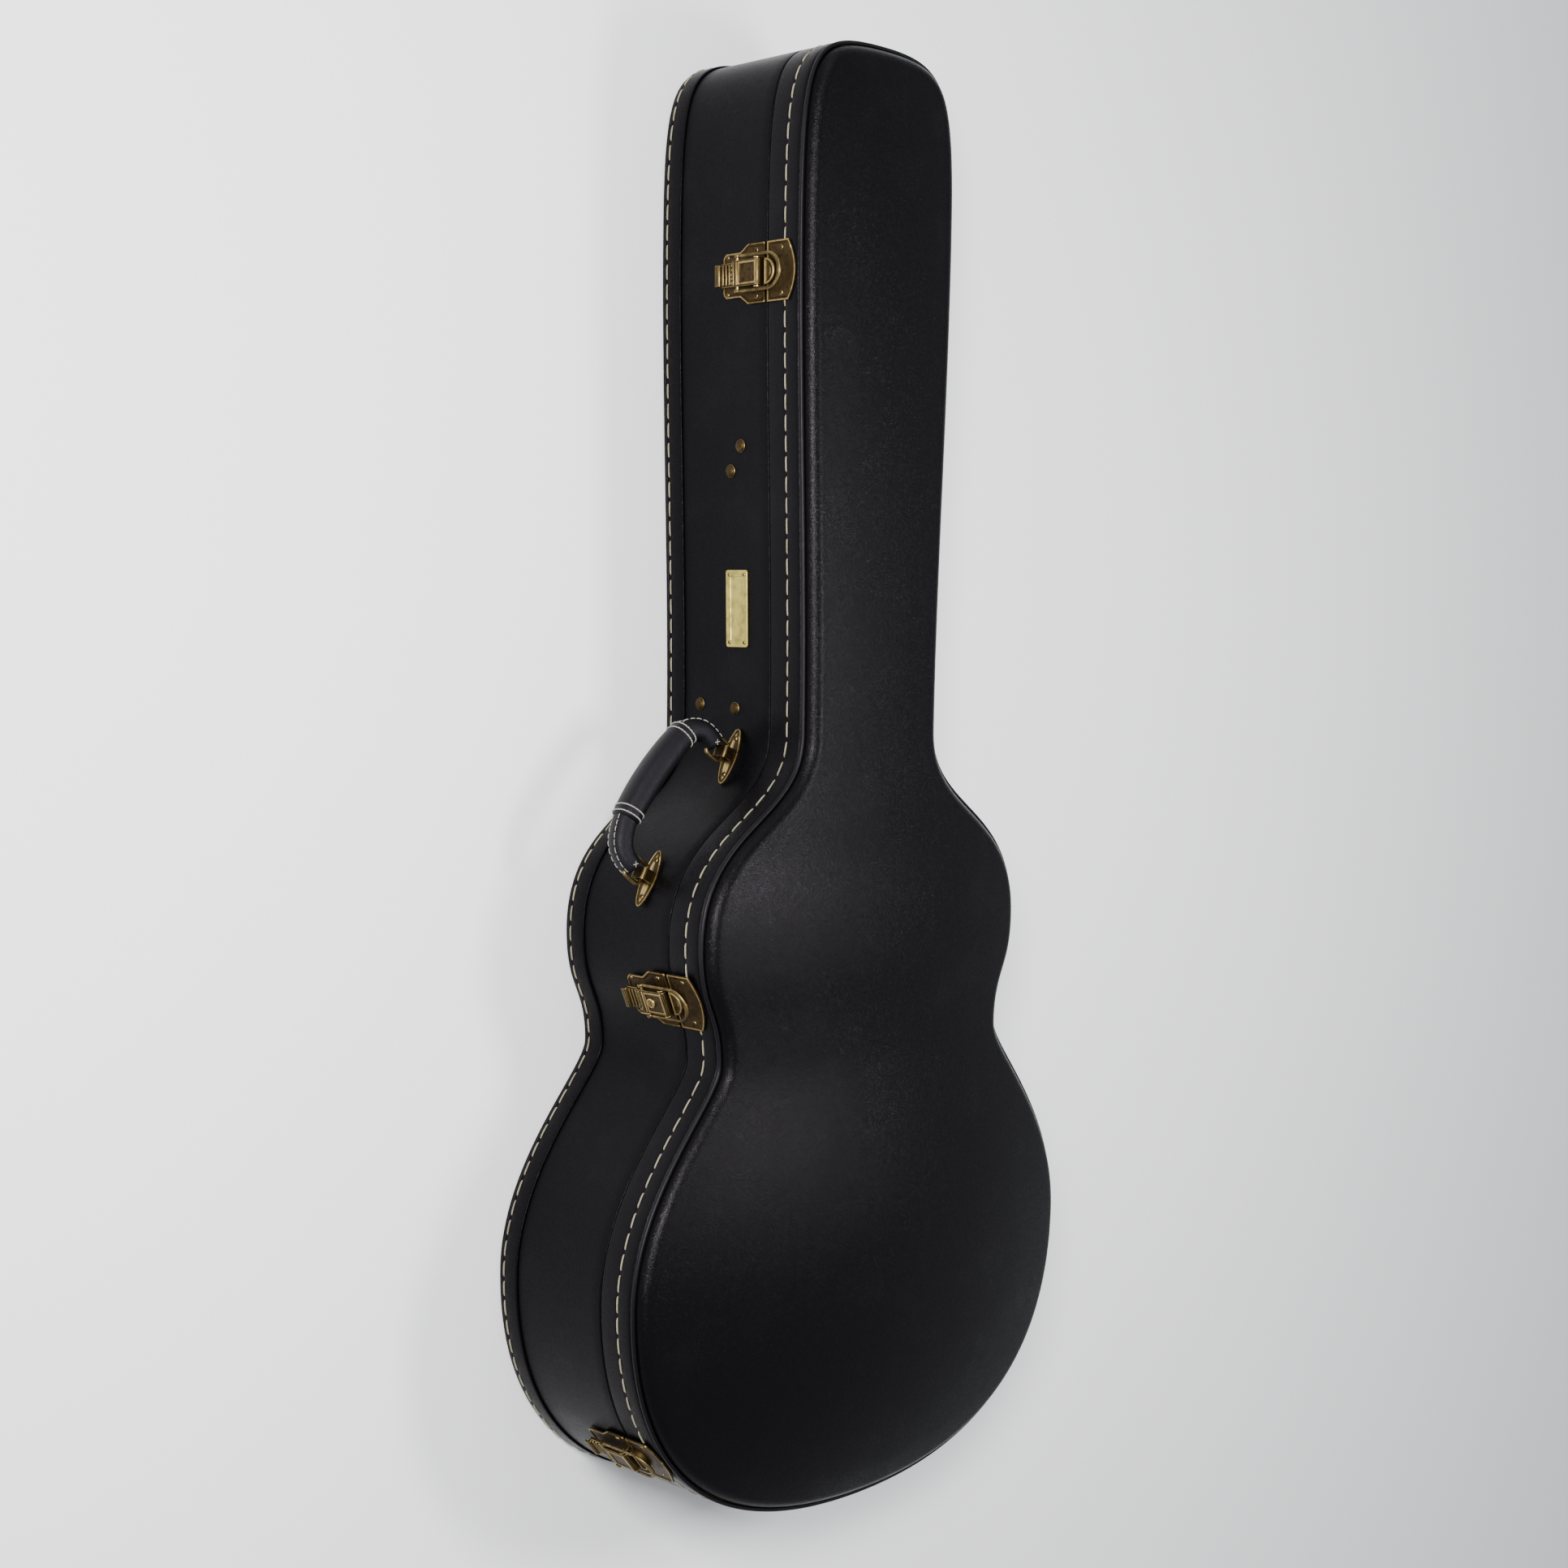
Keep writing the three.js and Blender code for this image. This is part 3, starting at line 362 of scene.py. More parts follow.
finishes = {
    "grained_vinyl": grainedVinyl("grainedVinyl", vinylLook),
    "side_vinyl": grainedVinyl("sideVinyl", {**vinylLook, "shine": 0.045}),
    "band_vinyl": grainedVinyl("bandVinyl", {**vinylLook, "shine": 0.052}, 0.25),
    "piping_vinyl": grainedVinyl("pipingVinyl", pipingLook, 0.1),
    "thread": sewingThread("creamThread", threadLook),
    "handle_thread": sewingThread("handleThread", paleThread),
    "antique_brass": antiqueBrass("antiqueBrass", antiqueLook),
    "round_bars": antiqueBrass("antiqueBars", {**antiqueLook, "wear": 0.42}),
    "worn_rims": antiqueBrass("wornRims", {**antiqueLook, **rimLook}),
    "bright_brass": brushedBrass("brushedBrass", brightLook),
    "plush": plushPile("plushPile", plushLook),
    "handle_leather": grainedVinyl("handleLeather", leatherLook, 0.3),
    "ribbon": wovenRibbon("wovenRibbon", ribbonLook),
    "plywood": birchPly("birchPly", boardLook),
    "floor": studioFloor("studioFloor", studio["floorColour"]),
}
recordSlots = {part["node"]: part["material_slot"] for part in frame["record"]["subparts"]}
for name, node in frame["nodes"].items():
    node.data.materials.clear()
    node.data.materials.append(finishes[recordSlots[name]])
print("finishes made")


# ---- the outline of the case

caseShape = {
    "length": 1100,
    "lowerBout": (189, 233.5),  # from the tail, half width
    "waist": (353, 153.3),
    "upperBout": (440, 172.5),
    "neckFoot": (590, 73),
    "headShoulder": (127, 82.6),  # from the head, half width
    "fullness": {
        "tail": (0.77, 0.516),
        "lowerToWaist": (0.506, 0.139),
        "waistToUpper": (0.47, 0.539),
        "upperToNeck": (0.595, 0.426),
        "neck": (0.33, 0.33),
        "head": (0.88, 0.867),
    },
    "pointsRound": 1200,
}


def bezier(a, b, c, d, t):
    s = 1 - t
    return a * s**3 + b * (3 * s * s * t) + c * (3 * s * t * t) + d * t**3


def distances(path):
    lengths = [0]
    for a, b in zip(path, path[1:]):
        lengths.append(lengths[-1] + (b - a).length)
    return lengths


def caseOutline(shape):
    # evenly spaced points and outward normals all round, anticlockwise from the tail
    tailX = shape["length"] / 2
    stations = [Vector((tailX - x, w)) for x, w in (shape[k] for k in ("lowerBout", "waist", "upperBout", "neckFoot"))]
    shoulder = Vector((shape["headShoulder"][0] - tailX, shape["headShoulder"][1]))
    full = shape["fullness"]
    lower = stations[0]
    across, along = full["tail"]
    curves = [(Vector((tailX, 0)), Vector((tailX, across * lower.y)),
               Vector((lower.x + along * (tailX - lower.x), lower.y)), lower)]
    spans = ("lowerToWaist", "waistToUpper", "upperToNeck", "neck")
    for a, b, name in zip(stations, [*stations[1:], shoulder], spans):
        leave, arrive = full[name]
        curves.append((a, Vector((a.x + leave * (b.x - a.x), a.y)), Vector((b.x - arrive * (b.x - a.x), b.y)), b))
    along, across = full["head"]
    curves.append((shoulder, Vector((shoulder.x - along * shape["headShoulder"][0], shoulder.y)),
                   Vector((-tailX, across * shoulder.y)), Vector((-tailX, 0))))
    half = [curves[0][0]]
    for curve in curves:
        half += [bezier(*curve, k / 300) for k in range(1, 301)]
    whole = half + [Vector((p.x, -p.y)) for p in reversed(half[1:-1])]
    lengths = distances(whole + whole[:1])
    count, total = shape["pointsRound"], lengths[-1]
    points, k = [], 0
    for i in range(count):
        want = total * i / count
        while lengths[k + 1] < want:
            k += 1
        t = (want - lengths[k]) / (lengths[k + 1] - lengths[k])
        points.append(whole[k].lerp(whole[(k + 1) % len(whole)], t))
    normals = []
    for i in range(count):
        tangent = points[(i + 1) % count] - points[i - 1]
        normals.append(Vector((tangent.y, -tangent.x)).normalized())
    return points, normals, total


sidePoints, sideNormals, roundLength = caseOutline(caseShape)
tailX = caseShape["length"] / 2


halfWidths = {}


def halfWidth(x, inset):
    # how far the outline is from the middle line, once moved in by inset
    if inset not in halfWidths:
        table = [0] * (2 * int(tailX) + 2)
        whole = [(p.x - n.x * inset, p.y - n.y * inset) for p, n in zip(sidePoints, sideNormals)]
        half = whole[: len(sidePoints) // 2 + 1]
        for (ax, ay), (bx, by) in zip(half, half[1:]):
            low, high = sorted((ax, bx))
            for k in range(math.ceil(low + tailX), math.floor(high + tailX) + 1):
                t = (k - tailX - ax) / (bx - ax) if ax != bx else 0
                table[k] = max(table[k], ay + (by - ay) * t)
        halfWidths[inset] = table
    table = halfWidths[inset]
    at = min(max(x + tailX, 0), len(table) - 2)
    k = int(at)
    return table[k] + (table[k + 1] - table[k]) * (at - k)


def ring(inset, z):
    return [Vector((p.x - n.x * inset, p.y - n.y * inset, z)) for p, n in zip(sidePoints, sideNormals)]


def framed(origin, x, y, z):
    return Matrix.Translation(origin) @ Matrix((x, y, z)).transposed().to_4x4()


def sideFrame(fromTail, height, reach=0, side=-1):
    # x along the wall, y up, z outwards; raised to clear a flat plate that reaches that far each way
    x = tailX - fromTail
    k = min(range(len(sidePoints) // 2), key=lambda i: abs(sidePoints[i].x - x) + (sideNormals[i].y <= 0) * 1e4)
    at, out = sidePoints[k].copy(), sideNormals[k].copy()
    at.y *= side
    out.y *= side
    near = [Vector((p.x, p.y * side)) - at for p in sidePoints]
    near = [d for d in near if abs(d.x * out.y - d.y * out.x) <= reach and d.length < 2 * reach + 1]
    lift = max([0] + [d.dot(out) for d in near]) + 0.3
    z = Vector((out.x, out.y, 0))
    return framed(Vector((at.x, at.y, height)) + z * lift, upward.cross(z), upward, z)


# ---- mesh tools

def makeObject(name, points, faces, slot, body, node=None, place=None, finish=None):
    # points are in millimetres, in the frame `place` if there is one; node is the frame's solid it stands for
    mesh = bpy.data.meshes.new(name)
    moved = [(place @ Vector(p) if place else Vector(p)) * mm for p in points]
    mesh.from_pydata(moved, [], faces)
    mesh.validate()
    tidy = bmesh.new()
    tidy.from_mesh(mesh)
    bmesh.ops.recalc_face_normals(tidy, faces=tidy.faces)
    tidy.to_mesh(mesh)
    tidy.free()
    mesh.materials.append(finishes[finish or slot])
    made = smoothed(linked(name, mesh))
    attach(made, body)
    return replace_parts(made, node) if node else made


def smoothed(obj):
    for face in obj.data.polygons:
        face.use_smooth = True
    return obj


def circle(radius, z, sides, middle=(0, 0)):
    return [Vector((middle[0] + radius * math.cos(a), middle[1] + radius * math.sin(a), z)) for a in angles(sides)]


def angles(count):
    return [2 * math.pi * k / count for k in range(count)]


def halfTurn(steps):
    return [math.pi * k / steps for k in range(steps + 1)]


def sweep(rings, closed=False, caps=False):
    # rings of equal length joined by quads; closed joins the last ring to the first
    count = len(rings[0])
    points = [p for r in rings for p in r]
    faces = []
    for k in range(len(rings) if closed else len(rings) - 1):
        a, b = k * count, (k + 1) % len(rings) * count
        faces += [(a + i, a + (i + 1) % count, b + (i + 1) % count, b + i) for i in range(count)]
    if caps:
        faces.append(tuple(range(count))[::-1])
        faces.append(tuple(range(len(points) - count, len(points))))
    return points, faces


def tube(path, radius, sides=8, closed=False, flat=1.0, up=None):
    # a round bar along a path; flat is its thickness as a share of its width
    rings = []
    last = up or Vector((0.123, 0.456, 0.881))
    for i, p in enumerate(path):
        if closed:
            run = path[(i + 1) % len(path)] - path[i - 1]
        else:
            run = path[min(i + 1, len(path) - 1)] - path[max(i - 1, 0)]
        run.normalize()
        across = run.cross(last).normalized()
        last = across.cross(run).normalized()
        r = radius(i / (len(path) - 1)) if callable(radius) else radius
        rings.append([p + across * math.cos(a) * r + last * math.sin(a) * r * flat for a in angles(sides)])
    return sweep(rings, closed=closed, caps=not closed)


def merged(parts):
    points, faces = [], []
    for morePoints, moreFaces in parts:
        start = len(points)
        points += morePoints
        faces += [tuple(start + i for i in face) for face in moreFaces]
    return points, faces


finer = ("SUBSURF", {"levels": 1, "render_levels": 1})


def applied(obj, *modifiers):
    # adds modifiers as (type, settings) and applies them
    for kind, settings in modifiers:
        modifier = obj.modifiers.new(kind, kind)
        for key, value in settings.items():
            setattr(modifier, key, value)
    depsgraph = bpy.context.evaluated_depsgraph_get()
    mesh = bpy.data.meshes.new_from_object(obj.evaluated_get(depsgraph))
    old = obj.data
    obj.modifiers.clear()
    obj.data = mesh
    bpy.data.meshes.remove(old)
    return smoothed(obj)


def shrunk(outline, by):
    # the outline moved inwards; it runs anticlockwise
    moved = []
    for i, p in enumerate(outline):
        p = Vector(p)
        a = (p - Vector(outline[i - 1])).normalized()
        b = (Vector(outline[(i + 1) % len(outline)]) - p).normalized()
        normal = Vector((-a.y, a.x)) + Vector((-b.y, b.x))
        normal /= max(0.3, normal.length_squared / 2)
        moved.append(tuple(p + normal * by))
    return moved


def rounded(corners, radius, steps=4):
    # corners of a polygon rounded with quadratic curves
    made = []
    for i, c in enumerate(corners):
        c, a, b = Vector(c), Vector(corners[i - 1]), Vector(corners[(i + 1) % len(corners)])
        r = min(radius, (a - c).length * 0.45, (b - c).length * 0.45)
        start, end = c + (a - c).normalized() * r, c + (b - c).normalized() * r
        for k in range(steps + 1):
            t = k / steps
            made.append(tuple(start * (1 - t) ** 2 + c * 2 * t * (1 - t) + end * t * t))
    return made


def pressed(outline, levels, radius=0.0, steps=3):
    # a pressed plate: each level is how far in from the outline, and how high; the last one is the middle
    rings = []
    last, level = levels[-1]
    for inset, z in [*levels, (last + 0.35, level), (last + 0.7, level)]:
        line = shrunk(outline, inset) if inset else outline
        if radius:
            line = rounded(line, max(radius - inset, 0.2), steps)
        rings.append([Vector((x, y, z)) for x, y in line])
    return sweep(rings, caps=True)


def dome(radius, height, sides, rows, place):
    # a nail's or rivet's head; its foot is at place
    px, py, pz = place
    rings = [circle(radius, pz - 0.2, sides, (px, py))]
    for j in range(rows):
        b = j / rows * math.pi / 2
        rings.append(circle(radius * math.cos(b), pz + height * math.sin(b), sides, (px, py)))
    points, faces = sweep(rings)
    top, start = len(points), len(points) - sides
    points.append(Vector((px, py, pz + height)))
    faces += [(start + i, start + (i + 1) % sides, top) for i in range(sides)]
    faces.append(tuple(range(sides))[::-1])
    return points, faces


def rivets(name, body, place, spots):
    # each spot is radius, height, sides, rows, how far each way along, how far up, how far out
    heads = [dome(radius, height, sides, rows, (s * x, y, z)) for radius, height, sides, rows, x, y, z in spots
             for s in (-1, 1)]
    makeObject(name, *merged(heads), "antique_brass", body, place=place)


def floorPlane(size=14):
    mesh = bpy.data.meshes.new("floor")
    mesh.from_pydata([(-size, -size, 0), (size, -size, 0), (size, size, 0), (-size, size, 0)], [], [(0, 1, 2, 3)])
    mesh.materials.append(finishes["floor"])
    made = linked("floor", mesh)
    made.location.z = -0.2 * mm  # just under the case's back


floorPlane()

# ---- panels, bands and linings

shell = {
    "split": 115,
    "splitGap": 0.8,
    "wallThick": 6,
    "backThick": 6,
    "pipingRadius": 1.6,
    "backBand": (4.4, 22),
    "lidBand": (115.4, 146.5),
    "stitchHeights": {"back": 7.6, "lid": 133},
    "crown": {"rise": 5.454e-4, "edge": 158, "bead": 10.5, "beadInset": 13.5, "spine": (-467.4, 361), "thick": 4},
}
tubTop = shell["split"] - shell["splitGap"] / 2
crown = shell["crown"]


def crownHeight(x, y):
    return crown["edge"] + crown["rise"] * max(0, halfWidth(x, crown["beadInset"]) ** 2 - y * y)


def spineOf(p):
    low, high = crown["spine"]
    return Vector((min(max(p.x, low), high), 0))


def spread(inset, z, rows, height):
    # rings from the outline in to the middle line; height(x, y) gives z
    start = ring(inset, z)
    rings = []
    for k in range(1, rows + 1):
        flats = [p.xy.lerp(spineOf(p), k / rows) for p in start]
        rings.append([Vector((flat.x, flat.y, height(flat.x, flat.y))) for flat in flats])
    return rings


def welded(obj):
    work = bmesh.new()
    work.from_mesh(obj.data)
    bmesh.ops.remove_doubles(work, verts=work.verts, dist=0.02 * mm)
    bmesh.ops.dissolve_degenerate(work, edges=work.edges, dist=1e-6)
    bmesh.ops.recalc_face_normals(work, faces=work.faces)
    work.to_mesh(obj.data)
    work.free()
    return obj


def sweptPanels():
    # each piece swept round the case, with its section as (inset, height)
    split, gap, thick = shell["split"], shell["splitGap"] / 2, shell["wallThick"]
    low, top = shell["backThick"], tubTop
    side = [(0.9, low), (0, low + 0.9)] + [(0, low + 0.9 + (top - 2.2 - low) * k / 12) for k in range(1, 13)]
    side += [(0.35, top - 0.3), (0.9, top), (thick - 0.7, top), (thick, top - 0.7), (thick, low)]
    yield "sideSkin", "side_wall", "grained_vinyl", "tub", side

    low, high = shell["backBand"]
    seam = shell["stitchHeights"]["back"]
    yield "backBand", "back_band", "band_vinyl", "tub", [
        (-0.3, low), (-1.2, low), (-1.7, low + 0.5), (-1.8, seam - 1.8), (-1.35, seam), (-1.8, seam + 1.8),
        (-1.8, seam + 6), (-1.75, high - 1.6), (-1.5, high - 0.4), (-1.1, high), (-0.3, high)]

    top = split + 6
    yield "innerLip", "inner_board", "plywood", "tub", [
        (6.3, 6), (6.3, top - 1.1), (6.6, top - 0.3), (7.1, top), (7.9, top), (8.4, top - 0.3),
        (8.7, top - 1.1), (8.7, 6)]

    low, high = split + gap, 147
    yield "lidWall", "lid_side_wall", "plywood", "lid", [
        (1.8, low + 0.5), (1.8, high), (5.8, high), (5.8, low + 0.8), (5.2, low + 0.1), (2.3, low + 0.1)]

    low, high = shell["lidBand"]
    seam = shell["stitchHeights"]["lid"]
    yield "lidBand", "lid_band", "band_vinyl", "lid", [
        (1.5, low), (0.7, low), (0.15, low + 0.5), (0, low + 1.5), (0, 124), (0, seam - 3.2), (0.12, seam - 1.4),
        (0.5, seam), (0.12, seam + 1.3), (-0.15, seam + 3.6), (-0.22, seam + 6.5), (-0.1, high - 3.4),
        (0.25, high - 1.2), (0.8, high - 0.2), (1.5, high)]


def sweptPanel(name, finish=None):
    node, slot, body, levels = panels[name]
    makeObject(name, *sweep([ring(inset, z) for inset, z in levels], closed=True), slot, body, node, finish=finish)


def backSlab():
    inset, thick = 2.7, shell["backThick"]
    rings = [ring(inset + 1.5, 0), ring(inset + 0.6, 0), ring(inset, 0.6), ring(inset, thick), ring(inset + 1, thick)]
    makeObject("backSlab", *sweep(rings, caps=True), "grained_vinyl", "tub", "back_panel")


def piping(name, inset, height, body, node):
    bar = tube(ring(inset, height), shell["pipingRadius"], 10, closed=True, up=upward)
    makeObject(name, *bar, "piping_vinyl", body, node)


def tubPlush():
    # foam-backed plush up the walls and over the floor, soft in the corners
    outer, inner, low, floorTop, top = 9, 16, 6.3, 13.3, tubTop
    levels = [(outer, low), (outer, top - 1.4), (outer + 0.5, top - 0.4), (outer + 1.6, top)]
    levels += [(inner - 3, top - 0.3), (inner - 1.4, top - 1.3), (inner - 0.4, top - 3.6), (inner, top - 8)]
    levels += [(inner, 80), (inner, 55), (inner, 30)]
    bend = 9
    levels += [(inner + bend - bend * math.cos(a), floorTop + bend - bend * math.sin(a))
               for a in (k * math.pi / 10 for k in range(6))]
    rings = [ring(inset, z) for inset, z in levels]
    rings += spread(inner + bend, floorTop, 12, lambda x, y: floorTop)
    under = [ring(outer, low)] + spread(outer, low, 6, lambda x, y: low)
    points, faces = merged([sweep(rings), sweep(under)])
    made = welded(makeObject("tubPlush", points, faces, "plush", "tub", "tub_lining"))
    for vertex in made.data.vertices:
        p = vertex.co / mm
        if p.z > low + 1:
            lump = noise.noise(p * 0.012) * 0.5 + noise.noise(p * 0.04) * 0.25
            clear = min(1, max(0, (top - 2 - p.z) / 12))
            if p.z < floorTop + 12:
                vertex.co.z += max(-0.6, lump) * 0.5 * mm * clear


def edgeSlopes():
    # how steeply the crown leaves the bead, all round
    slopes = []
    for p in ring(crown["beadInset"], 0):
        inward = (spineOf(p) - p.xy).normalized()
        q = p.xy + inward * 12
        slopes.append(min(0.5, math.atan2(crownHeight(q.x, q.y) - crown["edge"], 12)))
    count = len(slopes)
    return [sum(slopes[(i + k) % count] for k in range(-6, 7)) / 13 for i in range(count)]


def crownSurface(drop):
    # the bead and the crown, seen from above; drop is how far it is moved inwards
    slopes = edgeSlopes()
    r, middle = crown["bead"], crown["beadInset"]
    rings = [ring(middle - r + drop, 147.05)]
    for k in range(9):
        line = []
        for p, n, slope in zip(sidePoints, sideNormals, slopes):
            a = (math.pi / 2 - slope + 0.28 * max(0, 1 - slope / 0.15)) * k / 8
            inset = middle - (r - drop) * math.cos(a)
            line.append(Vector((p.x - n.x * inset, p.y - n.y * inset, crown["edge"] - r + (r - drop) * math.sin(a))))
        rings.append(line)
    edge = rings[-1]
    rows = 22
    for k in range(1, rows + 1):
        t = (k / rows) ** 1.25
        line = []
        for p, slope in zip(edge, slopes):
            flat = p.xy.lerp(spineOf(p), t)
            far = (flat - p.xy).length
            free = p.z + far * math.tan(slope)
            share = min(1, far / 30)
            share = share * share * (3 - 2 * share)
            line.append(Vector((flat.x, flat.y, free + (crownHeight(flat.x, flat.y) - drop - free) * share)))
        rings.append(line)
    return rings


def lidCrown():
    outside, inside = crownSurface(0), crownSurface(crown["thick"])
    points, faces = merged([sweep(outside), sweep(inside), sweep([outside[0], inside[0]])])
    welded(makeObject("lidCrown", points, faces, "grained_vinyl", "lid", "lid_arch_panel"))


def lidPlush():
    outer, inner, low = 6.1, 13.1, 123
    levels = [(outer, 146.7), (outer, low + 1.5), (outer + 0.6, low + 0.4), (outer + 1.8, low), (inner - 2, low + 0.2),
              (inner - 0.7, low + 1.2), (inner, low + 3.6), (inner, 132), (inner, 138)]
    rings = [ring(inset, z) for inset, z in levels]
    bend = 8
    start = ring(inner + bend, 0)
    ceiling = [crownHeight(p.x, p.y) - 11.7 for p in start]
    for k in range(6):
        a = k * math.pi / 10
        line = ring(inner + bend - bend * math.cos(a), 0)
        for p, top in zip(line, ceiling):
            p.z = 138 + (top - 138) * math.sin(a)
        rings.append(line)
    rings += spread(inner + bend, 0, 14, lambda x, y: crownHeight(x, y) - 11.7)
    above = [ring(outer, 146.7), ring(outer + 2.1, 148)]
    above += spread(outer + 6, 0, 14, lambda x, y: crownHeight(x, y) - 4.7)
    points, faces = merged([sweep(rings), sweep(above)])
    welded(makeObject("lidPlush", points, faces, "plush", "lid", "lid_lining"))


panels = {name: rest for name, *rest in sweptPanels()}
sweptPanel("sideSkin", "side_vinyl")
backSlab()
piping("backPiping", 0.9, 2.3, "tub", "back_piping")
sweptPanel("backBand")
sweptPanel("innerLip")
tubPlush()
sweptPanel("lidWall")
sweptPanel("lidBand")
piping("lidPiping", 1.2, 148.3, "lid", "lid_piping")
lidCrown()
lidPlush()
print("panels, bands and linings made")


# ---- rows of stitches

stitching = {"pitch": 15, "length": 11.6, "radius": 0.6}


def stitchRow(name, inset, height, body):
    count = round(roundLength / stitching["pitch"])
    step = len(sidePoints) / count
    each = roundLength / len(sidePoints)
    reach = stitching["length"] / 2 / each
    parts = []

    def at(place, lift, z):
        k = math.floor(place)
        t = place - k
        p = sidePoints[k % len(sidePoints)].lerp(sidePoints[(k + 1) % len(sidePoints)], t)
        n = sideNormals[k % len(sidePoints)]
        return Vector((p.x - n.x * (inset - lift), p.y - n.y * (inset - lift), z))

    for i in range(count):
        middle = i * step + random.uniform(-0.12, 0.12)
        long = reach * random.uniform(0.94, 1.04)
        lean = random.uniform(-0.14, 0.14)
        path = []
        for end in (-1, 1):
            ways = [(1, -1.0), (0.92, -0.1), (0.7, 0.45), (0.3, 0.55)]
            for u, lift in ways if end < 0 else ways[::-1]:
                path.append(at(middle + end * u * long, lift * stitching["radius"], height + end * u * lean))
        parts.append(tube(path, lambda t: stitching["radius"] * (1 - 0.35 * abs(2 * t - 1) ** 3), 7))
    makeObject(name, *merged(parts), "band_vinyl", body, finish="thread")


stitchRow("lidStitches", 0.3, shell["stitchHeights"]["lid"], "lid")
stitchRow("backStitches", -1.5, shell["stitchHeights"]["back"], "tub")
print("stitches made")


# ---- nails, name plate and latches

nailLook = {
    "places": [(803, 85.5), (784, 74.5), (608, 39), (606, 77.5)],  # from the tail, height
    "radius": 5,
}


def sideNails():
    frames = [(side, place) for side in (-1, 1) for place in nailLook["places"]]
    for k, (side, (fromTail, height)) in enumerate(frames, 1):
        place = sideFrame(fromTail, height, nailLook["radius"], side)
        r = nailLook["radius"] - 0.05
        rings = [circle(r * share, z, 28) for share, z in
                 ((0.97, -0.25), (1, 0), (1, 0.18), (0.965, 0.42), (0.9, 0.62), (0.87, 0.72), (0.8, 1.12), (0.66, 1.68),
                  (0.46, 2.12), (0.22, 2.35))]
        makeObject(f"nailHead_{k}", *sweep(rings, caps=True), "antique_brass", "tub", f"side_nail_{k}", place=place)


sideNails()

namePlateLook = {"fromTail": 683, "height": 80.5, "long": 58, "wide": 23, "thick": 1.2,
                 "nailInset": 3.6, "nailRadius": 1.5}


def namePlate():
    look = namePlateLook
    place = sideFrame(look["fromTail"], look["height"], look["long"] / 2)
    t = look["thick"]
    x, y = look["long"] / 2, look["wide"] / 2
    outline = [(x, -y), (x, y), (-x, y), (-x, -y)]
    # an edge rolled over, a narrow groove, and a slightly sunk middle
    levels = [(0, 0.05), (0, t - 0.35), (0.15, t - 0.12), (0.45, t), (1.3, t), (1.55, t - 0.12), (5.0, t - 0.12),
              (5.25, t - 0.42), (6.4, t - 0.48)]
    made = makeObject("brassNamePlate", *pressed(outline, levels, 2.2, 5), "bright_brass", "tub", "name_plate", place)
    applied(made, ("EDGE_SPLIT", {"split_angle": math.radians(38)}))
    x, y = look["long"] / 2 - look["nailInset"], look["wide"] / 2 - look["nailInset"]
    rivets("namePlateNails", "tub", place, [(look["nailRadius"], 0.75, 16, 4, x, sy * y, t - 0.12) for sy in (-1, 1)])


namePlate()

latchLook = {
    "plate": {"wide": 22, "narrow": 16.5, "long": 45, "thick": 1.4},
    "leverPin": (-4.8, 5.6),
    "clawPin": (-24.5, 6.6),
    "clawArm": 12.75,
    "clawTip": 18.9,
    "boss": 9.8,
}


def latchFrame(name):
    joint = joints[f"{name}_lever_pivot"]
    along = -Vector(joint["axis"]).normalized()
    out = along.cross(upward).normalized()
    y, z = latchLook["leverPin"]
    return framed(Vector(joint["pos_m"]) / mm - upward * y - out * z, along, upward, out)


def slabX(profile, x0, x1):
    # a shape drawn in y and z, drawn out along x
    count = len(profile)
    points = [Vector((x0, y, z)) for y, z in profile] + [Vector((x1, y, z)) for y, z in profile]
    faces = [(i, (i + 1) % count, count + (i + 1) % count, count + i) for i in range(count)]
    return points, faces + [tuple(range(count))[::-1], tuple(range(count, 2 * count))]


def hardEdges(obj, width):
    # bevelled edges, and a loop inside each flat face so that wear keeps to the edges
    applied(obj, ("BEVEL", {"width": width * mm, "segments": 2, "limit_method": "ANGLE",
                            "angle_limit": math.radians(32), "harden_normals": False}))
    work = bmesh.new()
    work.from_mesh(obj.data)
    flat = [face for face in work.faces if len(face.verts) < 20]
    for inset in (0.3, 0.15):
        flat = [face for face in flat if face.is_valid and face.calc_area() > 2.5 * mm * mm]
        bmesh.ops.inset_individual(work, faces=flat, thickness=inset * mm, use_even_offset=True)
    work.to_mesh(obj.data)
    work.free()
    return smoothed(obj)


def brassPiece(name, parts, body, node, place, width, *heights):
    # hard-edged brass, rubbed bright on the faces at these heights above the wall
    made = hardEdges(makeObject(name, *merged(parts), "antique_brass", body, node, place), width)
    made.data.materials.append(finishes["worn_rims"])
    back = place.inverted()
    for face in made.data.polygons:
        z = (back @ (face.center / mm)).z
        if any(low <= z <= high for low, high in heights):
            face.material_index = 1


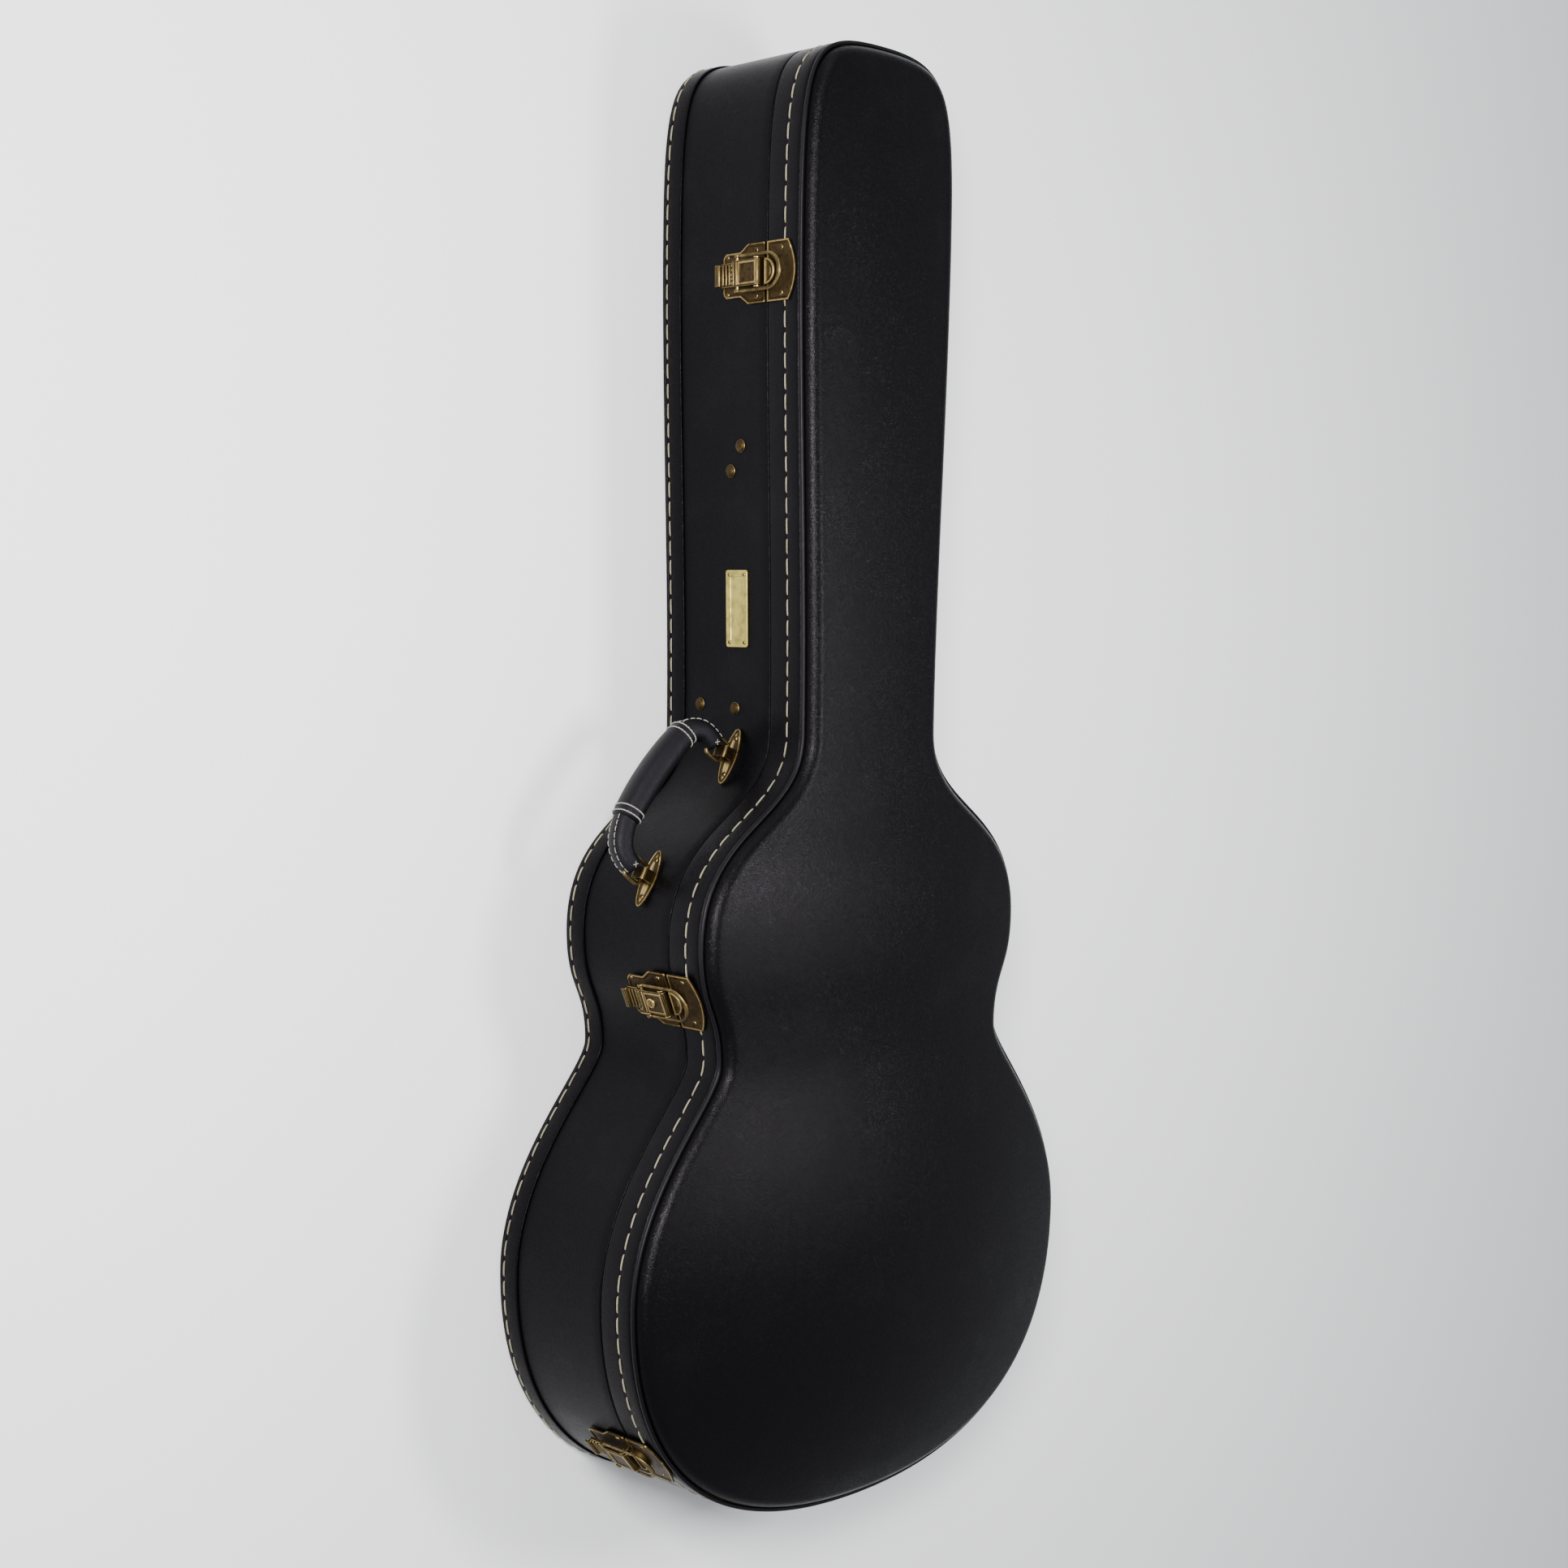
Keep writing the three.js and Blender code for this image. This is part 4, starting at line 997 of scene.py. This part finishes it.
def latchPlate(name, place):
    size = latchLook["plate"]
    w, n, l, t = size["wide"], size["narrow"], size["long"], size["thick"]
    corners = [(w, -1.2), (-w, -1.2), (-w, -19), (-n, -27), (-n, 3 - l), (3 - n, -l), (n - 3, -l), (n, 3 - l),
               (n, -27), (w, -19)]
    flat = pressed(corners, [(0, 0.1), (0, t - 0.35), (0.25, t), (1.15, t), (1.45, t - 0.35), (2.2, t - 0.6)], 1.4)
    y, z = latchLook["leverPin"]
    cheek = [(y - 3.4, 0.6), (y + 3.4, 0.6)] + [(y + 2.8 * math.cos(a), z + 2.8 * math.sin(a)) for a in halfTurn(10)]
    ears = [slabX(cheek, *sorted((s * 9.95, s * 11.05))) for s in (-1, 1)]
    brassPiece(f"{name}LatchPlate", [flat, *ears], "tub", f"{name}_latch_plate", place, 0.18, (t - 0.1, t + 0.05))
    spots = [(2.0, 0.95, 20, 5, 16.6, -10.5, t - 0.6), (1.5, 0.7, 16, 4, 13.6, -40.6, t - 0.6)]
    rivets(f"{name}LatchRivets", "tub", place, spots)


def latchKeeper(name, place):
    w = 22
    bow = [(w * (1 - 2 * k / 20), 23 + 7 * (1 - (1 - 2 * k / 20) ** 2)) for k in range(21)]
    outline = [(-w, 1.0), (w, 1.0)] + bow
    t = 1.4
    flat = pressed(outline, [(0, 0.1), (0, t - 0.35), (0.25, t), (1.25, t), (1.55, t - 0.35), (2.3, t - 0.6)], 0.8, 2)
    b = latchLook["boss"] - 0.15
    drop = [(b, 1.2), (b, 2.6)] + [(b * math.cos(a), 2.6 + 9.2 * math.sin(a)) for a in halfTurn(24)[1:-1]]
    drop += [(-b, 2.6), (-b, 1.2)]
    boss = pressed(drop, [(0, t - 0.7), (0, 4.0), (0.25, 4.6), (0.7, 5.0), (1.5, 5.0), (1.9, 4.5), (2.6, 3.9),
                          (4.4, 3.6)])
    brassPiece(f"{name}LatchKeeper", [flat, boss], "lid", f"{name}_latch_keeper", place, 0.18,
               (t - 0.1, t + 0.05), (4.75, 5.1))
    rivets(f"{name}KeeperRivets", "lid", place, [(1.9, 0.9, 20, 5, 16.4, 15.5, t - 0.6)])


def latchLever(name, place):
    # a nose over the pin, a framed panel, a stepped lower stretch and a curled thumb tab
    py, pz = latchLook["leverPin"]
    turns = [math.radians(22 - 180 + k * 22.5) for k in range(11)]
    nose = [(py + 3.65 * math.cos(a), pz + 3.65 * math.sin(a)) for a in turns]
    nose = [p for p in nose if p[1] < 8.6 or p[0] > py]
    body = slabX([(-4.8 - 3.5, 4.3), *nose, (-8.2, 8.45), (-28.2, 8.45), (-29.2, 7.9), (-31.6, 5.7), (-31.8, 4.4),
                  (-29, 4.3)], -9.45, 9.45)
    foot = slabX([(-31, 5.6), (-42.8, 5.4), (-43.6, 4.4), (-43.6, 3.3), (-32, 3.3), (-30.5, 4.3)], -8.6, 8.6)
    tab = slabX([(-42.4, 4.6), (-42.4, 6.4), (-43.0, 7.6), (-44.0, 8.3), (-45.6, 8.5), (-47.2, 8.1), (-48.1, 7.2),
                 (-48.0, 6.5), (-47.0, 6.8), (-45.4, 7.1), (-44.7, 6.6), (-44.4, 5.4), (-44.5, 3.4), (-43.2, 3.3)],
                -7.6, 7.6)
    panel = pressed([(8.3, -21.9), (8.3, -3.4), (-8.3, -3.4), (-8.3, -21.9)],
                    [(0, 8.0), (0, 8.8), (0.2, 9.0), (1.3, 9.0), (1.6, 8.7), (2.3, 8.1)], 0.9)
    parts = [body, foot, tab, panel]
    for y0, y1, top, half in ((-24.6, -22.7, 8.95, 8.4), (-27.8, -26.4, 8.9, 8.4), (-34.6, -32.9, 6.5, 7.2),
                              (-38.1, -36.4, 6.5, 7.2), (-41.6, -39.9, 6.5, 7.2)):
        parts.append(slabX([(y0, top - 1.6), (y1, top - 1.6), (y1 - 0.15, top - 0.2), ((y0 + y1) / 2, top),
                            (y0 + 0.15, top - 0.2)], -half, half))
    for k in range(5):
        x = -6.4 + k * 3.2
        parts.append(slabX([(-32.2, 5.2), (-28.4, 7.6), (-28.6, 8.5), (-32.4, 6.3)], x - 0.75, x + 0.75))
    brassPiece(f"{name}LatchLever", parts, f"{name}_lever", f"{name}_latch_lever", place, 0.2, (8.88, 9.1))


def latchClaw(name, place):
    # a bar bent round the keeper's boss, with an eye at the foot of each arm
    py, pz = latchLook["clawPin"]
    arm, tip = latchLook["clawArm"], latchLook["clawTip"]
    path = [Vector((arm, y, pz)) for y in (py + 1, -20, -14, -8, -2, 3)]
    path += [Vector((arm * math.cos(a), 7 + (tip - 7) * math.sin(a), pz)) for a in halfTurn(24)]
    path += [Vector((-arm, y, pz)) for y in (3, -2, -8, -14, -20, py + 1)]
    bar = tube(path, lambda t: 1.22 + 0.7 * max(0, 1 - abs(t - 0.5) / 0.27) ** 0.8, 10, up=upward, flat=0.8)
    eyes = []
    for s in (-1, 1):
        ways = ((11.6, 2.2), (11.75, 2.5), (12.1, 2.55), (13.4, 2.55), (13.8, 2.4), (13.95, 1.9), (13.9, 1.2),
                (14.1, 0.9))
        rings = [[Vector((s * x, py + r * math.cos(a), pz + r * math.sin(a))) for a in angles(22)] for x, r in ways]
        eyes.append(sweep(rings, caps=True))
    makeObject(f"{name}LatchClaw", *merged([bar, *eyes]), "antique_brass", f"{name}_claw", f"{name}_latch_claw", place,
               "round_bars")


def lockPlug(place):
    y, r, top = -16, 3.95, 9.8
    levels = [(1, 6.2), (1, top - 0.35), (0.95, top - 0.1), (0.86, top), (0.74, top), (0.68, top - 0.35),
              (0.3, top - 0.35)]
    barrel = sweep([circle(r * share, z, 32, (0, y)) for share, z in levels], caps=True)
    makeObject("keyCylinder", *barrel, "bright_brass", "lock_plug", "lock_plug", place, "worn_rims")
    slot = [(2.5, y - 0.5), (2.5, y + 0.5), (-2.5, y + 0.5), (-2.5, y - 0.5)]
    key = pressed(slot, [(0, top - 0.6), (0, top - 0.3), (0.12, top - 0.3)], 0.4)
    makeObject("keySlot", *key, "antique_brass", "lock_plug", place=place)


for name in ("neck", "waist", "tail"):
    place = latchFrame(name)
    latchPlate(name, place)
    latchKeeper(name, place)
    latchLever(name, place)
    latchClaw(name, place)
    if name == "waist":
        lockPlug(place)
print("nails, name plate and latches made")


# ---- hinges

hingeLook = {"screwRadius": 2.1, "screwHeight": 0.7, "screwSpread": 11.5, "screwAway": 13}


def slottedHead(radius, height):
    # a countersunk screw head with a driver slot, standing on z = 0
    sides = 24
    turns = [2 * math.pi * (k + 0.5) / sides for k in range(sides)]
    half = 0.17
    cut = [(half * radius if math.cos(a) > 0 else -half * radius, radius * 0.93 * math.sin(a)) for a in turns]
    levels = [(1, -0.4), (1, height * 0.45), (0.9, height * 0.85), (0.62, height)]
    rings = [[Vector((radius * r * math.cos(a), radius * r * math.sin(a), z)) for a in turns] for r, z in levels]
    rings.append([Vector((x, y * 0.6, height)) for x, y in cut])
    rings.append([Vector((x, y * 0.6, height * 0.35)) for x, y in cut])
    return sweep(rings, caps=True)


def hinges():
    # the leaves and pins are the frame's own, with worn edges; each leaf gets two slotted screws
    along = -Vector(joints["lid_hinge"]["axis"]).normalized()
    out = upward.cross(along)
    for name in ("head", "upper", "lower"):
        pin = sum(boxOf(f"{name}_hinge_pin"), Vector()) / 2
        for part, way, body in (("tub_leaf", -1, "tub"), ("lid_leaf", 1, "lid")):
            node = frame["nodes"][f"{name}_hinge_{part}"]
            bevel = node.modifiers.new("bevel", "BEVEL")
            bevel.width, bevel.segments, bevel.limit_method = 0.25 * mm, 2, "ANGLE"
            split = node.modifiers.new("finer", "SUBSURF")
            split.subdivision_type, split.levels, split.render_levels = "SIMPLE", 2, 2
            heads = []
            for k in (-1, 1):
                start = pin + along * k * hingeLook["screwSpread"] + upward * way * hingeLook["screwAway"] + out * 40
                hit, where, facing, _ = node.ray_cast(start * mm, -out)
                if hit:
                    turn = facing.to_track_quat("Z", "Y").to_matrix() @ Matrix.Rotation(0.7 * k + way, 3, "Z")
                    seat = Matrix.Translation(where / mm) @ turn.to_4x4()
                    points, faces = slottedHead(hingeLook["screwRadius"], hingeLook["screwHeight"])
                    heads.append(([seat @ p for p in points], faces))
            if heads:
                makeObject(f"{name}HingeScrews_{body}", *merged(heads), "antique_brass", body)


hinges()
print("hinges finished")


# ---- handle

handleLook = {
    "gripHalf": 43.5,
    "gripShift": -8,  # towards the head
    "gripWide": 25,
    "gripHigh": 22,
    "out": 38,
    "bow": 3,
    "strapWide": 17.5,
    "strapThick": 17,
    "strapFoot": 9.6,
    "plate": {"long": 45, "wide": 15, "thick": 1.4},
}


def handleFrame():
    joint = joints["handle_swing"]
    along = Vector(joint["axis"]).normalized()
    grip = boxOf("handle_grip")
    origin = Vector(joint["pos_m"]) / mm
    toGrip = (grip[0] + grip[1]) / 2 - origin
    out = (toGrip - along * toGrip.dot(along)).normalized()
    links = [sum(boxOf(f"handle_link_{end}"), Vector()) / 2 for end in ("head", "tail")]
    middle = (links[0] + links[1]) / 2
    origin += along * (middle - origin).dot(along)
    span = (links[1] - links[0]).dot(along)
    return framed(origin, along, out.cross(along), out), span


def gripPoint(u):
    # the grip's middle line, bowed outwards; u goes from -1 at the head end to 1
    look = handleLook
    return Vector((look["gripShift"] + u * look["gripHalf"], 0, look["out"] + look["bow"] * (0.35 - u * u)))


def strapPath(span):
    # the leather's middle line: out of one link, through the grip and into the other; x along, z out
    end, foot = span / 2, handleLook["strapFoot"]
    way = [Vector((x, 0, z)) for x, z in ((-end, foot), (-end - 1.2, 17), (-end - 1, 24.5), (-end + 3, 31.5))]
    way += [gripPoint(u) for u in (-0.93, -0.5, 0, 0.5, 0.93)]
    way += [Vector((x, 0, z)) for x, z in ((end - 13, 31.8), (end - 5, 26), (end - 0.8, 18), (end, foot))]
    path = []
    for i in range(len(way) - 1):
        p0, p1 = way[max(i - 1, 0)], way[i]
        p2, p3 = way[i + 1], way[min(i + 2, len(way) - 1)]
        for k in range(8):
            t = k / 8
            path.append(0.5 * (2 * p1 + (p2 - p0) * t + (2 * p0 - 5 * p1 + 4 * p2 - p3) * t * t
                               + (3 * p1 - p0 - 3 * p2 + p3) * t**3))
    return path + [way[-1]]


def outwards(path, i):
    run = (path[min(i + 1, len(path) - 1)] - path[max(i - 1, 0)]).normalized()
    return Vector((-run.z, 0, run.x))


def section(centre, out, wide, thick, turn, square, lift=0.0):
    # a point on a rounded section; turn 0 is its side, a quarter turn its outer face
    c, s = math.cos(turn), math.sin(turn)
    a = (wide / 2 + lift) * math.copysign(abs(c) ** square, c)
    b = (thick / 2 + lift) * math.copysign(abs(s) ** square, s)
    return centre + Vector((0, a, 0)) + out * b


def padOf(name, rings, node, place):
    made = makeObject(name, *sweep(rings, caps=True), "handle_leather", "handle", node, place)
    applied(made, finer)


def handleStrap(place, span):
    path = strapPath(span)
    lengths = distances(path)
    total = lengths[-1]
    look = handleLook

    def size(far):
        # narrow at its folded foot, fullest where it meets the grip
        near = min(far, total - far)
        full = min(1, near / 24)
        foot = min(1, near / 2.5)
        return (look["strapWide"] * (0.86 + 0.14 * full) * (0.8 + 0.2 * foot),
                look["strapThick"] * (0.9 + 0.1 * full) * (0.72 + 0.28 * foot))

    rings = []
    for i, p in enumerate(path):
        wide, thick = size(lengths[i])
        out = outwards(path, i)
        rings.append([section(p, out, wide, thick, a, 0.78) for a in angles(28)])
    padOf("handleLeather", rings, "handle_core", place)

    # a raised seam of cream stitches along the outer corner on both sides
    parts = []
    pitch = 4.2
    inside = look["gripHalf"] - 1
    for side in (-1, 1):
        for k in range(int(total / pitch)):
            stitch = []
            for u, lift in ((-1.55, -0.45), (-1.25, 0.1), (-0.5, 0.3), (0.5, 0.3), (1.25, 0.1), (1.55, -0.45)):
                far = min(max(1.6 + (k + 0.5) * pitch + u, 0.2), total - 0.2)
                i = max(j for j in range(len(lengths) - 1) if lengths[j] <= far)
                t = (far - lengths[i]) / max(lengths[i + 1] - lengths[i], 1e-6)
                wide, thick = size(far)
                turn = math.pi / 2 - side * 0.42
                out = outwards(path, i).lerp(outwards(path, i + 1), t)
                stitch.append(section(path[i].lerp(path[i + 1], t), out, wide, thick, turn, 0.78, lift))
            if abs(stitch[2].x - look["gripShift"]) > inside or stitch[2].z < 26:
                parts.append(tube(stitch, 0.36, 6))
    # small crosses where the leather is folded back round each link
    for x in (-span / 2, span / 2):
        for lean in (-1, 1):
            for side in (-1, 1):
                y = side * (look["strapWide"] * 0.43 + 0.05)
                stitch = [Vector((x + s * 1.7, y, 12.6 + s * lean * 1.3)) for s in (-1, -0.4, 0.4, 1)]
                parts.append(tube(stitch, 0.34, 6))
    makeObject("handleSeam", *merged(parts), "handle_leather", "handle", place=place, finish="handle_thread")


def handleGrip(place):
    look = handleLook
    count, rings = 44, []
    line = [gripPoint(-1 + 2 * k / count) for k in range(count + 1)]

    def fatness(u):
        return 1 - 0.09 * abs(u) ** 2.2

    for k, p in enumerate(line):
        u = -1 + 2 * k / count
        fat = fatness(u) - 0.12 * max(0, (abs(u) - 0.965) / 0.035) ** 2
        out = outwards(line, k)
        rings.append([section(p, out, look["gripWide"] * fat, look["gripHigh"] * fat, a, 0.86) for a in angles(40)])
    ends = [[c.lerp(p, 0.62) for p in r] for c, r in ((line[0], rings[0]), (line[-1], rings[-1]))]
    padOf("handleGrip", [ends[0], *rings, ends[1]], "handle_grip", place)

    # two rings of stitches round each end
    parts = []
    for far in (2.8, 7.6):
        for end in (-1, 1):
            u = end * (1 - far / look["gripHalf"])
            i = round((u + 1) / 2 * count)
            centre, out = gripPoint(u), outwards(line, i)
            wide, high = look["gripWide"] * fatness(u), look["gripHigh"] * fatness(u)
            for j in range(24):
                stitch = []
                for v, lift in ((-0.4, -0.5), (-0.33, 0.0), (-0.12, 0.25), (0.12, 0.25), (0.33, 0.0), (0.4, -0.5)):
                    turn = 2 * math.pi * (j + v) / 24
                    stitch.append(section(centre, out, wide, high, turn, 0.86, lift))
                parts.append(tube(stitch, 0.5, 6))
    makeObject("gripStitches", *merged(parts), "handle_leather", "handle", place=place, finish="handle_thread")


def handleLink(name, place, x):
    # a flat ring of round wire
    low, high, half, r = 0, 14, 8.5, 1.45
    corner = 2.6
    path = []
    for cx, cz, start in ((half - corner, high - corner, 0), (-half + corner, high - corner, 90),
                          (-half + corner, low + corner, 180), (half - corner, low + corner, 270)):
        for k in range(7):
            a = math.radians(start + 15 * k)
            path.append(Vector((x + cx + corner * math.cos(a), 0, cz + corner * math.sin(a))))
    bar = tube(path, r, 12, closed=True, up=Vector((0, 1, 0)))
    makeObject(f"handleLink_{name}", *bar, "antique_brass", "handle", f"handle_link_{name}", place, "round_bars")


def handlePlate(name, fromTail):
    size = handleLook["plate"]
    place = sideFrame(fromTail, 83, size["long"] / 2)
    t = size["thick"]
    outline = [(size["long"] / 2 * math.copysign(abs(math.cos(a)) ** 1.25, math.cos(a)),
                size["wide"] / 2 * math.copysign(abs(math.sin(a)) ** 0.95, math.sin(a)))
               for a in angles(64)]
    levels = [(0, 0.1), (0, t - 0.3), (0.3, t + 0.1), (1.0, t + 0.1), (1.35, t - 0.25), (2.4, t - 0.15)]
    flat = pressed(outline, levels)
    # a domed bridge over the ring
    roof, wide, wall, deep = 11.5, 6.4, 1.6, 4.5
    outer = rounded([(-wide, t / 2), (-wide, roof + wall), (wide, roof + wall), (wide, t / 2)], 2.4, 5)[5:-5]
    hole = wide - wall
    inner = rounded([(hole, t / 2), (hole, roof), (-hole, roof), (-hole, t / 2)], 1.6, 5)[5:-5]
    arch = [(-wide, t / 2), *outer, (wide, t / 2), (hole, t / 2), *inner, (-hole, t / 2)]
    brassPiece(f"handlePlate_{name}", [flat, slabX(arch, -deep, deep)], "tub", f"handle_plate_{name}", place, 0.2,
               (t + 0.02, t + 0.15))
    rivets(f"handleRivets_{name}", "tub", place, [(2.1, 1.1, 20, 5, 14.6, 0, t - 0.3)])


place, span = handleFrame()
handleStrap(place, span)
handleGrip(place)
for name, side in (("head", -1), ("tail", 1)):
    handleLink(name, place, side * span / 2)
for name, fromTail in (("head", 567.5), ("tail", 483)):
    handlePlate(name, fromTail)
print("handle made")


# ---- padding inside

padding = {"voxel": 5, "pressure": 4, "frames": 20, "mostSwell": 2.2, "shrink": 1.6, "fill": 0.55}


def softened(name, nodeName, body="tub", shrink=None, voxel=None):
    # a foam block under plush: remeshed from the frame's shape and swelled as cloth, held in by a cap
    shrink = padding["shrink"] if shrink is None else shrink
    mesh = frame["nodes"][nodeName].data.copy()
    mesh.name = name
    low, high = boxOf(nodeName)
    middle, size = (low + high) / 2, high - low
    for vertex in mesh.vertices:
        p = vertex.co / mm - middle
        vertex.co = (middle + Vector(p[k] * (1 - 2 * shrink / size[k]) for k in range(3))) * mm
    made = linked(name, mesh)
    mesh.materials.clear()
    applied(made, ("REMESH", {"mode": "VOXEL", "voxel_size": (voxel or padding["voxel"]) * mm}))
    applied(made, ("SMOOTH", {"factor": 0.5, "iterations": 4}))
    start = [v.co.copy() for v in made.data.vertices]
    cloth = made.modifiers.new("swell", "CLOTH")
    cloth.settings.use_pressure = True
    cloth.settings.uniform_pressure_force = padding["pressure"]
    cloth.settings.effector_weights.gravity = 0
    cloth.settings.mass = 0.25
    cloth.point_cache.frame_start, cloth.point_cache.frame_end = 1, padding["frames"]
    for k in range(1, padding["frames"] + 1):
        scene.frame_set(k)
    applied(made)
    scene.frame_set(1)
    most = padding["mostSwell"] * mm
    for vertex, was in zip(made.data.vertices, start):
        move = vertex.co - was
        if move.length > most:
            vertex.co = was + move.normalized() * most
        for k in range(3):
            vertex.co[k] = min(max(vertex.co[k], low[k] * mm), high[k] * mm)
    applied(made, finer)
    made.data.materials.clear()
    made.data.materials.append(finishes["plush"])
    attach(made, body)
    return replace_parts(made, nodeName)


softened("neckCradle", "neck_cradle")
softened("compartmentWall", "compartment_wall", shrink=1.0, voxel=4)
softened("compartmentRailLeft", "compartment_rail_left")
softened("compartmentRailRight", "compartment_rail_right")
softened("compartmentFlap", "compartment_flap", "compartment_flap", shrink=0.9, voxel=4)


def pullRibbon():
    # a woven strip that lies on the flap and curls up a little at its free end
    low, high = boxOf("flap_ribbon")
    columns, rows = 6, 24
    points, faces = [], []
    for j in range(rows + 1):
        v = j / rows
        for i in range(columns + 1):
            u = i / columns
            z = low.z + 0.15 + 0.5 * (1 - v) ** 3 * 0.6 + 0.1 * math.sin(v * 9)
            points.append(Vector((low.x + (high.x - low.x) * u, low.y + (high.y - low.y) * v, z)))
    for j in range(rows):
        for i in range(columns):
            a = j * (columns + 1) + i
            faces.append((a, a + 1, a + columns + 2, a + columns + 1))
    made = makeObject("pullRibbon", points, faces, "ribbon", "compartment_flap", "flap_ribbon")
    applied(made, ("SOLIDIFY", {"thickness": 0.5 * mm, "offset": 0}))


pullRibbon()
print("padding made")
